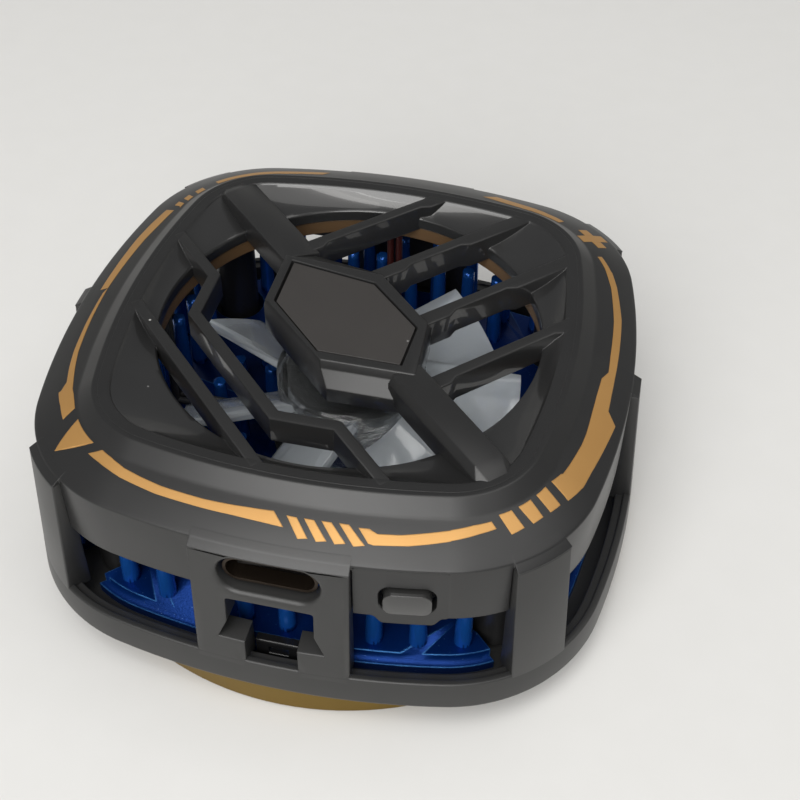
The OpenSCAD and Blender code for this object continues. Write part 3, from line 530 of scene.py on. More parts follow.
class Effect:
    """Shader node groups that more than one finish uses. Each is built once."""

    _built: dict[str, bpy.types.NodeTree] = {}

    @classmethod
    def _new(cls, name: str, inputs: list[tuple[str, str, float]],
             outputs: list[tuple[str, str]]) -> bpy.types.NodeTree:
        """Makes an empty group with named sockets and its two end nodes.

        Args:
            name: its name.
            inputs: sockets in: name, kind and first value.
            outputs: sockets out: name and kind.

        Returns:
            The new group.
        """
        tree = bpy.data.node_groups.new(name, "ShaderNodeTree")
        for label, kind, value in inputs:
            made = tree.interface.new_socket(label, in_out="INPUT", socket_type=kind)
            if kind == "NodeSocketFloat":
                made.default_value = value
        for label, kind in outputs:
            tree.interface.new_socket(label, in_out="OUTPUT", socket_type=kind)
        tree.nodes.new("NodeGroupInput").name = "in"
        tree.nodes.new("NodeGroupOutput").name = "out"
        cls._built[name] = tree
        return tree

    @classmethod
    def mould_grain(cls) -> bpy.types.NodeTree:
        """Fine moulded texture: two sizes of noise as a height, and a slow drift for the roughness.

        Returns:
            The group.
        """
        if "mould_grain" in cls._built:
            return cls._built["mould_grain"]
        tree = cls._new("mould_grain", [("Scale", "NodeSocketFloat", 6000.0), ("Drift", "NodeSocketFloat",
                                                                               0.06),
                                        ("Roughness", "NodeSocketFloat", 0.4)],
                        [("Height", "NodeSocketFloat"), ("Roughness", "NodeSocketFloat")])
        n, link = tree.nodes, tree.links.new
        where = n.new("ShaderNodeTexCoord")
        fine, slow = n.new("ShaderNodeTexNoise"), n.new("ShaderNodeTexNoise")
        fine.inputs["Detail"].default_value = 2.0
        slow.inputs["Scale"].default_value = 160.0
        slow.inputs["Detail"].default_value = 3.0
        centred, scaled, total = (n.new("ShaderNodeMath") for _ in range(3))
        centred.operation = "SUBTRACT"
        centred.inputs[1].default_value = 0.5
        scaled.operation = "MULTIPLY"
        link(where.outputs["Object"], fine.inputs["Vector"])
        link(where.outputs["Object"], slow.inputs["Vector"])
        link(n["in"].outputs["Scale"], fine.inputs["Scale"])
        link(slow.outputs["Fac"], centred.inputs[0])
        link(centred.outputs[0], scaled.inputs[0])
        link(n["in"].outputs["Drift"], scaled.inputs[1])
        link(scaled.outputs[0], total.inputs[0])
        link(n["in"].outputs["Roughness"], total.inputs[1])
        link(fine.outputs["Fac"], n["out"].inputs["Height"])
        link(total.outputs[0], n["out"].inputs["Roughness"])
        return tree

    @classmethod
    def edge_rub(cls) -> bpy.types.NodeTree:
        """Mask of edges for wear and a painted highlight: where the rounded normal leaves the true one, broken
        up by noise.

        Returns:
            The group.
        """
        if "edge_rub" in cls._built:
            return cls._built["edge_rub"]
        tree = cls._new("edge_rub", [("Radius", "NodeSocketFloat", 0.00012), ("Amount", "NodeSocketFloat",
                                                                              0.5)],
                        [("Mask", "NodeSocketFloat"), ("Normal", "NodeSocketVector")])
        n, link = tree.nodes, tree.links.new
        bevel, shape = n.new("ShaderNodeBevel"), n.new("ShaderNodeNewGeometry")
        bevel.samples = 4
        dot = n.new("ShaderNodeVectorMath")
        dot.operation = "DOT_PRODUCT"
        bend, noise = n.new("ShaderNodeMapRange"), n.new("ShaderNodeTexNoise")
        bend.inputs["From Min"].default_value, bend.inputs["From Max"].default_value = 0.995, 0.86
        where = n.new("ShaderNodeTexCoord")
        noise.inputs["Scale"].default_value, noise.inputs["Detail"].default_value = 900.0, 4.0
        first, second = n.new("ShaderNodeMath"), n.new("ShaderNodeMath")
        first.operation = second.operation = "MULTIPLY"
        link(n["in"].outputs["Radius"], bevel.inputs["Radius"])
        link(bevel.outputs["Normal"], dot.inputs[0])
        link(shape.outputs["Normal"], dot.inputs[1])
        link(dot.outputs["Value"], bend.inputs["Value"])
        link(where.outputs["Object"], noise.inputs["Vector"])
        link(bend.outputs["Result"], first.inputs[0])
        link(noise.outputs["Fac"], first.inputs[1])
        link(first.outputs[0], second.inputs[0])
        link(n["in"].outputs["Amount"], second.inputs[1])
        link(second.outputs[0], n["out"].inputs["Mask"])
        link(bevel.outputs["Normal"], n["out"].inputs["Normal"])
        return tree

    @classmethod
    def swirl(cls) -> bpy.types.NodeTree:
        """Height of turning marks round the axis: noise stretched along the turn, kept inside a radius.

        Returns:
            The group.
        """
        if "swirl" in cls._built:
            return cls._built["swirl"]
        tree = cls._new("swirl", [("Radius", "NodeSocketFloat", 0.008)], [("Height", "NodeSocketFloat")])
        n, link = tree.nodes, tree.links.new
        where, apart, flat = (n.new(k) for k in ("ShaderNodeTexCoord", "ShaderNodeSeparateXYZ",
                                                 "ShaderNodeCombineXYZ"))
        length, angle, joined = (n.new(k) for k in ("ShaderNodeVectorMath", "ShaderNodeMath",
                                                    "ShaderNodeCombineXYZ"))
        length.operation, angle.operation = "LENGTH", "ARCTAN2"
        slow, noise = n.new("ShaderNodeMath"), n.new("ShaderNodeTexNoise")
        slow.operation = "MULTIPLY"
        slow.inputs[1].default_value = 0.0006
        noise.inputs["Scale"].default_value, noise.inputs["Detail"].default_value = 1500.0, 3.0
        within, kept = n.new("ShaderNodeMath"), n.new("ShaderNodeMath")
        within.operation, kept.operation = "LESS_THAN", "MULTIPLY"
        link(where.outputs["Object"], apart.inputs[0])
        link(apart.outputs["X"], flat.inputs["X"])
        link(apart.outputs["Y"], flat.inputs["Y"])
        link(flat.outputs[0], length.inputs[0])
        link(apart.outputs["Y"], angle.inputs[0])
        link(apart.outputs["X"], angle.inputs[1])
        link(angle.outputs[0], slow.inputs[0])
        link(length.outputs["Value"], joined.inputs["X"])
        link(slow.outputs[0], joined.inputs["Y"])
        link(apart.outputs["Z"], joined.inputs["Z"])
        link(joined.outputs[0], noise.inputs["Vector"])
        link(length.outputs["Value"], within.inputs[0])
        link(n["in"].outputs["Radius"], within.inputs[1])
        link(noise.outputs["Fac"], kept.inputs[0])
        link(within.outputs[0], kept.inputs[1])
        link(kept.outputs[0], n["out"].inputs["Height"])
        return tree

    @classmethod
    def dust(cls) -> bpy.types.NodeTree:
        """Mask of pale specks, small cells of which few are kept: dust, and with the fine settings painted
        glints.

        Returns:
            The group.
        """
        if "dust" in cls._built:
            return cls._built["dust"]
        tree = cls._new("dust", [("Amount", "NodeSocketFloat", 0.5), ("Scale", "NodeSocketFloat", 420.0),
                                 ("Least", "NodeSocketFloat", 0.62), ("Most", "NodeSocketFloat", 0.68)],
                        [("Mask", "NodeSocketFloat")])
        n, link = tree.nodes, tree.links.new
        where, cells, spread = (n.new(k) for k in ("ShaderNodeTexCoord", "ShaderNodeTexVoronoi",
                                                   "ShaderNodeTexNoise"))
        spread.inputs["Scale"].default_value = 260.0
        size, keep = n.new("ShaderNodeMapRange"), n.new("ShaderNodeMapRange")
        size.inputs["From Min"].default_value, size.inputs["From Max"].default_value = 0.07, 0.035
        first, second = n.new("ShaderNodeMath"), n.new("ShaderNodeMath")
        first.operation = second.operation = "MULTIPLY"
        link(where.outputs["Object"], cells.inputs["Vector"])
        link(where.outputs["Object"], spread.inputs["Vector"])
        link(n["in"].outputs["Scale"], cells.inputs["Scale"])
        link(n["in"].outputs["Least"], keep.inputs["From Min"])
        link(n["in"].outputs["Most"], keep.inputs["From Max"])
        link(cells.outputs["Distance"], size.inputs["Value"])
        link(spread.outputs["Fac"], keep.inputs["Value"])
        link(size.outputs["Result"], first.inputs[0])
        link(keep.outputs["Result"], first.inputs[1])
        link(first.outputs[0], second.inputs[0])
        link(n["in"].outputs["Amount"], second.inputs[1])
        link(second.outputs[0], n["out"].inputs["Mask"])
        return tree


Colour = tuple[float, float, float]


@dataclass(frozen=True)
class Finish:
    """A moulded or metal finish: colour with a drift, grain in the roughness and bump, edges lightened for wear
    and as a painted highlight, dust specks and painted glints.
    """

    name: str
    colour: Colour
    second: Colour
    roughness: float
    metallic: float = 0.0
    coat: float = 0.0
    specular: float = 0.5
    grain: float = 6000.0
    depth: float = 0.12
    drift: float = 0.08
    # Edge colour: partly wear, partly a painted highlight.
    wear_and_highlight: float = 0.3
    wear_and_highlight_colour: Colour = (0.16, 0.16, 0.16)
    edge: float = 0.00014
    # Specks: dust on the plastics; with painted_glints set, painted glints on the metal.
    dust: float = 0.0
    dust_and_glint_colour: Colour = (0.55, 0.55, 0.53)
    painted_glints: bool = False

    def build(self) -> bpy.types.Material:
        """Makes the material, or returns it if it is there.

        Returns:
            The material.
        """
        label = self.name + "_look"
        found = bpy.data.materials.get(label)
        if found:
            return found
        made = bpy.data.materials.new(label)
        made.use_nodes = True
        n, link = made.node_tree.nodes, made.node_tree.links.new
        shader = n["Principled BSDF"]
        shader.inputs["Metallic"].default_value = self.metallic
        shader.inputs["Coat Weight"].default_value = self.coat
        shader.inputs["Specular IOR Level"].default_value = self.specular
        grain = n.new("ShaderNodeGroup")
        grain.node_tree = Effect.mould_grain()
        grain.inputs["Scale"].default_value = self.grain
        grain.inputs["Drift"].default_value = self.drift
        grain.inputs["Roughness"].default_value = self.roughness
        wear_and_highlight = n.new("ShaderNodeGroup")
        wear_and_highlight.node_tree = Effect.edge_rub()
        wear_and_highlight.inputs["Radius"].default_value = self.edge
        wear_and_highlight.inputs["Amount"].default_value = self.wear_and_highlight
        where, cloud = n.new("ShaderNodeTexCoord"), n.new("ShaderNodeTexNoise")
        cloud.inputs["Scale"].default_value = 210.0
        cloud.inputs["Detail"].default_value = 5.0
        tint, wear_and_highlight_mix = n.new("ShaderNodeMix"), n.new("ShaderNodeMix")
        tint.data_type = wear_and_highlight_mix.data_type = "RGBA"
        tint.inputs["A"].default_value = (*self.colour, 1.0)
        tint.inputs["B"].default_value = (*self.second, 1.0)
        wear_and_highlight_mix.inputs["B"].default_value = (*self.wear_and_highlight_colour, 1.0)
        bump = n.new("ShaderNodeBump")
        bump.inputs["Strength"].default_value = self.depth
        bump.inputs["Distance"].default_value = 0.00003
        link(where.outputs["Object"], cloud.inputs["Vector"])
        link(cloud.outputs["Fac"], tint.inputs["Factor"])
        link(tint.outputs["Result"], wear_and_highlight_mix.inputs["A"])
        # Edges mix in the lighter colour: partly wear, partly a painted highlight.
        link(wear_and_highlight.outputs["Mask"], wear_and_highlight_mix.inputs["Factor"])
        top = wear_and_highlight_mix.outputs["Result"]
        if self.dust:
            speck_and_glint, dust_and_glint_mix = n.new("ShaderNodeGroup"), n.new("ShaderNodeMix")
            speck_and_glint.node_tree = Effect.dust()
            speck_and_glint.inputs["Amount"].default_value = self.dust
            dust_and_glint_mix.data_type = "RGBA"
            dust_and_glint_mix.inputs["B"].default_value = (*self.dust_and_glint_colour, 1.0)
            # The fine, dense specks are painted glints of light on the metal, not dust.
            if self.painted_glints:
                for socket, value in (("Scale", 2200.0), ("Least", 0.42), ("Most", 0.52)):
                    speck_and_glint.inputs[socket].default_value = value
            link(top, dust_and_glint_mix.inputs["A"])
            link(speck_and_glint.outputs["Mask"], dust_and_glint_mix.inputs["Factor"])
            top = dust_and_glint_mix.outputs["Result"]
        link(top, shader.inputs["Base Color"])
        link(grain.outputs["Roughness"], shader.inputs["Roughness"])
        link(grain.outputs["Height"], bump.inputs["Height"])
        link(wear_and_highlight.outputs["Normal"], bump.inputs["Normal"])
        link(bump.outputs["Normal"], shader.inputs["Normal"])
        return made


@dataclass(frozen=True)
class ClearFinish:
    """Clear plastic with a light frost: transmission, a roughness that drifts and moulding streaks."""

    name: str
    colour: Colour
    roughness: float
    transmission: float
    frost: float = 0.25

    def build(self) -> bpy.types.Material:
        """Makes the material, or returns it if it is there.

        Returns:
            The material.
        """
        label = self.name + "_look"
        found = bpy.data.materials.get(label)
        if found:
            return found
        made = bpy.data.materials.new(label)
        made.use_nodes = True
        n, link = made.node_tree.nodes, made.node_tree.links.new
        shader = n["Principled BSDF"]
        shader.inputs["Transmission Weight"].default_value = self.transmission
        shader.inputs["IOR"].default_value = 1.48
        grain = n.new("ShaderNodeGroup")
        grain.node_tree = Effect.mould_grain()
        grain.inputs["Scale"].default_value = 2400.0
        grain.inputs["Drift"].default_value = self.frost
        grain.inputs["Roughness"].default_value = self.roughness
        where, cloud, tint, bump = (n.new(k) for k in ("ShaderNodeTexCoord", "ShaderNodeTexNoise",
                                                       "ShaderNodeMix", "ShaderNodeBump"))
        cloud.inputs["Scale"].default_value = 300.0
        tint.data_type = "RGBA"
        tint.inputs["A"].default_value = (*self.colour, 1.0)
        tint.inputs["B"].default_value = (*(0.9 * c for c in self.colour), 1.0)
        bump.inputs["Strength"].default_value = 0.15
        bump.inputs["Distance"].default_value = 0.00004
        link(where.outputs["Object"], cloud.inputs["Vector"])
        link(cloud.outputs["Fac"], tint.inputs["Factor"])
        link(tint.outputs["Result"], shader.inputs["Base Color"])
        link(grain.outputs["Roughness"], shader.inputs["Roughness"])
        swirl, marks = n.new("ShaderNodeGroup"), n.new("ShaderNodeBump")
        swirl.node_tree = Effect.swirl()
        marks.inputs["Strength"].default_value = 0.8
        marks.inputs["Distance"].default_value = 0.0003
        link(grain.outputs["Height"], bump.inputs["Height"])
        link(swirl.outputs["Height"], marks.inputs["Height"])
        link(bump.outputs["Normal"], marks.inputs["Normal"])
        link(marks.outputs["Normal"], shader.inputs["Normal"])
        return made


FINISHES: dict[str, Finish | ClearFinish] = {made.name: made for made in (
    Finish("black_satin", (0.0135, 0.0135, 0.0137), (0.0185, 0.0185, 0.0187), 0.35, dust=0.8, wear_and_highlight=0.3,
           wear_and_highlight_colour=(0.09, 0.09, 0.09)),
    Finish("black_gloss", (0.006, 0.006, 0.0065), (0.008, 0.008, 0.0085), 0.16, depth=0.03, drift=0.05,
           wear_and_highlight=0.12, dust=0.6),
    Finish("funnel_gloss", (0.014, 0.014, 0.0142), (0.018, 0.018, 0.0182), 0.3, coat=0.7, depth=0.03,
           drift=0.06, wear_and_highlight=0.15, dust=1.0, wear_and_highlight_colour=(0.06, 0.06, 0.06)),
    Finish("black_shell", (0.02, 0.02, 0.0198), (0.027, 0.027, 0.0265), 0.4, wear_and_highlight=0.35, wear_and_highlight_colour=(0.12,
                                                                                                   0.12,
                                                                                                   0.12)),
    Finish("badge_grey", (0.032, 0.029, 0.0275), (0.039, 0.036, 0.034), 0.5, depth=0.25, dust=1.0),
    Finish("gold_print", (0.50, 0.27, 0.085), (0.56, 0.31, 0.105), 0.42, metallic=0.55, depth=0.1, wear_and_highlight=0.0),
    Finish("gold_metal", (0.15, 0.088, 0.006), (0.19, 0.115, 0.008), 0.35, metallic=0.6, wear_and_highlight=0.2,
           wear_and_highlight_colour=(0.3, 0.2, 0.04)),
    # Light blue edge lines and light blue specks on the base: painted highlights and painted glints.
    Finish("blue_anodised", (0.0005, 0.016, 0.1), (0.001, 0.028, 0.17), 0.4, metallic=0.6, specular=0.2,
           grain=4200.0, depth=0.9, drift=0.15, wear_and_highlight=0.9, wear_and_highlight_colour=(0.1, 0.36, 0.8), edge=0.00022,
           dust=1.0, dust_and_glint_colour=(0.3, 0.55, 0.9), painted_glints=True),
    # Pins a brighter blue than the base of the same heatsink: painted highlight; their light blue edges are
    # painted highlights too.
    Finish("blue_pins", (0.007, 0.075, 0.33), (0.011, 0.1, 0.42), 0.16, metallic=0.5, depth=0.05, wear_and_highlight=0.6,
           wear_and_highlight_colour=(0.1, 0.36, 0.85)),
    Finish("button_gloss", (0.02, 0.02, 0.0198), (0.027, 0.027, 0.0265), 0.2, coat=0.6, wear_and_highlight=0.2),
    ClearFinish("clear_plastic", (0.86, 0.92, 0.97), 0.12, 0.6, 0.1),
    ClearFinish("clear_hub", (0.86, 0.9, 0.92), 0.06, 0.94, 0.05),
    Finish("magnet", (0.5, 0.51, 0.53), (0.56, 0.57, 0.58), 0.3, metallic=1.0),
    Finish("aluminium", (0.72, 0.73, 0.75), (0.78, 0.79, 0.8), 0.34, metallic=1.0, drift=0.14),
    Finish("ceramic", (0.82, 0.81, 0.77), (0.86, 0.85, 0.82), 0.6),
    Finish("semiconductor", (0.36, 0.37, 0.39), (0.42, 0.43, 0.45), 0.4, metallic=0.9),
    Finish("foam", (0.018, 0.018, 0.02), (0.026, 0.026, 0.028), 0.9, grain=2500.0, depth=0.8),
    Finish("steel", (0.55, 0.56, 0.58), (0.62, 0.63, 0.65), 0.28, metallic=1.0),
    Finish("green_board", (0.02, 0.13, 0.055), (0.03, 0.17, 0.07), 0.35),
    Finish("brass", (0.55, 0.39, 0.13), (0.62, 0.46, 0.17), 0.3, metallic=1.0),
    Finish("bronze", (0.38, 0.23, 0.075), (0.45, 0.28, 0.1), 0.45, metallic=0.9, depth=0.5),
    Finish("white_plastic", (0.74, 0.74, 0.71), (0.8, 0.8, 0.77), 0.4),
    Finish("copper", (0.5, 0.2, 0.07), (0.58, 0.26, 0.09), 0.3, metallic=0.9, grain=5000.0, depth=0.7),
    # Tan darkened to a dark brown: painted shade for the board under the duct.
    Finish("tan_board", (0.1, 0.056, 0.025), (0.14, 0.08, 0.035), 0.5, grain=3000.0, depth=0.3),
    Finish("ferrite", (0.045, 0.045, 0.05), (0.065, 0.065, 0.07), 0.55, metallic=0.3, depth=0.4),
    Finish("capacitor", (0.38, 0.23, 0.1), (0.45, 0.28, 0.13), 0.4),
    # Steel darkened to dark brown: painted shade for the inside of the socket slot.
    Finish("socket_steel", (0.03, 0.022, 0.016), (0.05, 0.036, 0.026), 0.35, metallic=0.8, wear_and_highlight=0.0,
           edge=0.00003),
    Finish("red_lead", (0.05, 0.008, 0.006), (0.07, 0.012, 0.009), 0.45),
    Finish("black_lead", (0.02, 0.02, 0.022), (0.03, 0.03, 0.032), 0.45),
    Finish("yoke_steel", (0.58, 0.58, 0.59), (0.66, 0.66, 0.67), 0.25, metallic=1.0, drift=0.12),
)}


def finish(name: str) -> bpy.types.Material:
    """The material of a named finish."""
    return FINISHES[name].build()


def dressed(piece: bpy.types.Object, body: Body, slot: str, *nodes: str) -> bpy.types.Object:
    """Puts a new piece on its body and hides the imported nodes that it stands for.

    Args:
        piece: the new piece.
        body: the body that it rides on.
        slot: material slot of the record; not used.
        nodes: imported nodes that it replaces, if any.

    Returns:
        The piece.
    """
    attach(piece, body.value)
    if nodes:
        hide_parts(*nodes)
    LOG.info("%s: %d faces on %s", piece.name, len(piece.data.polygons), body.value)
    return piece


@dataclass
class BandProfile:
    """Cross section of the bezel: half sizes and heights of its edges, in millimetres."""

    panel: float = 29.2
    skirt_in: float = 27.9
    crease: float = 24.8
    rim: float = 23.05
    shelf_in: float = 22.15
    edge_z: float = 22.25
    crease_z: float = 24.2
    rim_z: float = 25.4
    seat_z: float = 24.1
    swell: float = 0.1

    def height(self, w: Array) -> Array:
        """Height of the band at half sizes: the straight slope plus a sine swell that is 0 at both edges."""
        t = np.clip((self.panel - np.asarray(w, float)) / (self.panel - self.crease), 0.0, 1.0)
        return self.edge_z + (self.crease_z - self.edge_z) * t + self.swell * np.sin(math.pi * t)

    def closed(self, foot: float, soft: float) -> Array:
        """The whole closed profile: band, fillet, rise, rounded rim, seat, underside, and down to a foot.

        Args:
            foot: height where the outer wall ends.
            soft: rounding of the foot.

        Returns:
            Half sizes and heights; the number of points does not depend on the foot.
        """
        band = [(w, float(self.height(w))) for w in np.linspace(self.panel - 0.5, self.crease + 0.6, 7)]
        flat = self.rim - 0.3
        points = [(self.panel, foot), (self.panel, self.edge_z), *band, (self.crease, self.crease_z),
                  (self.rim + 0.2, self.rim_z), (flat, self.rim_z), (flat, self.seat_z), (self.shelf_in,
                                                                                          self.seat_z),
                  (self.shelf_in, 22.9), (self.crease, 22.75), (self.skirt_in, max(foot, 21.5) + 0.12),
                  (self.skirt_in, foot)]
        radii = [soft, 0.26, *([0.0] * len(band)), 1.6, 0.4, 0.0, 0.0, 0.0, 0.0, 0.0, 0.0, soft]
        return rounded(points, radii)


BAND = BandProfile()


@dataclass
class Bezel:
    """Ring with the printed band, tabs over the pillars, skirt panels, and the corner screw posts."""

    skirt_z: float = 15.4
    tongue_z: float = 14.4
    seam_z: float = 21.6
    tab_out: float = 30.0
    mid_pillar: float = 5.4
    rib: float = 1.0
    corner_pillar: float = 10.9
    gap: float = 0.12
    button_turn: float = 9.1
    button_z: float = 17.9
    button_hole: tuple[float, float] = (5.2, 3.5)
    post_at: float = 19.6
    post_r: float = 2.4

    def pillar_spans(self, gap: float = 0.0) -> list[tuple[float, float]]:
        """Start and end angles of the pillars, from the front right corner on, widened by a gap.

        Args:
            gap: width in millimetres that is added at each end.

        Returns:
            A start and an end angle for each pillar.
        """
        side = math.degrees(gap / (OUTLINE.half_width - OUTLINE.side_centre))
        corner = math.degrees(gap / OUTLINE.corner_radius)
        spans = []
        for i in range(8):
            middle = 315.0 + 45.0 * i
            on_side = (self.rib if i % 4 == 1 else self.mid_pillar) + side
            half = self.corner_pillar + corner if i % 2 == 0 else on_side
            spans.append((middle - half, middle + half))
        return spans

    def ring(self, shell: Shell) -> None:
        """Adds the band and the skirt as one surface carried round the case.

        At each station the profile ends at the skirt's foot between the pillars, at the seam over a pillar,
        and at the panel's upper edge over the button; two stations share an angle where it changes.

        Args:
            shell: where it goes.
        """
        low = BAND.closed(self.skirt_z, 0.2)
        over = BAND.closed(self.seam_z + 0.03, 0.03)
        panel = BAND.closed(self.panel_top, 0.03)
        spans = self.pillar_spans(self.gap)
        button = (spans[7][1] - 360.0, 270.0 + OUTLINE.side_angle)
        pieces = [(button[0], button[1], panel), (button[1], spans[0][0], low)]
        for i, (start, stop) in enumerate(spans):
            pieces.append((start, stop, over))
            if i < 7:
                pieces.append((stop, spans[i + 1][0], low))
        rows = [swept(OUTLINE.turns_between(start, stop, 1.2), profile) for start, stop, profile in pieces]
        shell.grid(np.concatenate(rows), True, True)

    @property
    def panel_top(self) -> float:
        """Upper edge of the button panel, where the rounding of the band's edge begins."""
        return BAND.edge_z - 0.28

    def tabs(self, shell: Shell) -> None:
        """Adds the tabs: over each pillar the band goes on and then breaks down to the seam.

        Args:
            shell: where it goes.
        """
        inner = BAND.panel - 0.8
        edge = self.seam_z + 0.04
        profile = rounded([(inner, edge), (self.tab_out, edge), (self.tab_out, edge + 0.1),
                           (BAND.panel, BAND.edge_z - 0.03), (inner, float(BAND.height(inner)) - 0.06)],
                          [0.0, 0.03, 0.06, 0.2, 0.0], 3)
        for start, stop in self.pillar_spans():
            p = swept(OUTLINE.turns_between(start, stop, 0.8), profile)
            shell.grid(p, False, True)
            shell.cap(p[0])
            shell.cap(p[-1], flip=True)

    def button_panel(self, shell: Shell) -> None:
        """Adds the skirt panel with the button hole: rays from the hole to the panel's edge, two skins.

        Args:
            shell: where it goes.
        """
        side, steps = OUTLINE.side_angle, 160
        scale = (BAND.panel - OUTLINE.side_centre) * math.pi / 180.0
        start = self.pillar_spans(self.gap)[7][1] - 630.0
        lo, hi = (start - self.button_turn) * scale, (side - self.button_turn) * scale
        reach = 3.1
        panel = rounded([(lo, self.skirt_z), (-reach, self.skirt_z), (-reach + 0.7, self.tongue_z),
                         (reach - 0.7, self.tongue_z), (reach, self.skirt_z), (hi, self.skirt_z),
                         (hi, self.panel_top), (lo, self.panel_top)], [0.0, 0.5, 0.5, 0.5, 0.5, 0.0, 0.0,
                                                                       0.0], 4)
        w, h = self.button_hole[0] / 2, self.button_hole[1] / 2
        hole = rounded([(-w, self.button_z - h), (w, self.button_z - h), (w, self.button_z + h),
                        (-w, self.button_z + h)], [1.2] * 4, 6)
        centre = np.array([0.0, self.button_z])
        angles = np.linspace(-math.pi, math.pi, steps, endpoint=False)

        def along(outline: Array) -> Array:
            """Points of an outline at the ray angles, by interpolating its own polar angles.

            Args:
                outline: the loop.

            Returns:
                A point for each ray.
            """
            closed_outline = np.concatenate([outline, outline[:1]])
            dense = np.concatenate([np.linspace(a, b, 60, endpoint=False)
                                    for a, b in zip(closed_outline[:-1], closed_outline[1:])])
            polar = np.arctan2(*(dense - centre).T[::-1])
            order = np.argsort(polar)
            r = np.interp(angles, polar[order], np.linalg.norm(dense - centre, axis=1)[order],
                          period=2 * math.pi)
            return centre + r[:, None] * np.stack([np.cos(angles), np.sin(angles)], 1)

        edge_hole, edge_panel = along(hole), along(panel)
        mix = np.array([0.0, 0.04, 0.5, 1.0])[None, :, None]
        flat = edge_hole[:, None, :] * (1 - mix) + edge_panel[:, None, :] * mix
        turns = 270.0 + self.button_turn + flat[..., 0] / scale
        skins = []
        for w_skin, rim in ((BAND.panel, 0.12), (BAND.skirt_in, 0.0)):
            depth = np.array([w_skin - rim, w_skin, w_skin, w_skin])[None, :]
            x, y = OUTLINE.at(turns, np.broadcast_to(depth, turns.shape))
            skins.append(np.stack([x, y, flat[..., 1]], -1))
        p = np.concatenate([skins[0], skins[1][:, ::-1]], 1)
        shell.grid(p, True, True)

    def posts(self, shell: Shell) -> None:
        """Adds the corner screw posts, turned.

        Args:
            shell: where it goes.
        """
        r = self.post_r
        profile = np.array([(0.0, 4.6), (r - 0.2, 4.6), (r, 4.8), (r, 22.3), (r + 0.7, 22.4), (r + 0.7, 22.9),
                            (0.0, 22.9)])
        for x in (-self.post_at, self.post_at):
            for y in (-self.post_at, self.post_at):
                lathe(shell, profile, (x, y), 36)

    def build(self) -> bpy.types.Object:
        """Builds the bezel as one piece that stands for its node.

        Returns:
            The piece.
        """
        shell = Shell()
        self.ring(shell)
        self.tabs(shell)
        self.button_panel(shell)
        self.posts(shell)
        piece = shell.object("bezel", [finish("black_satin")], 40.0)
        return dressed(piece, Body.CASE, "black_satin", "top_bezel")


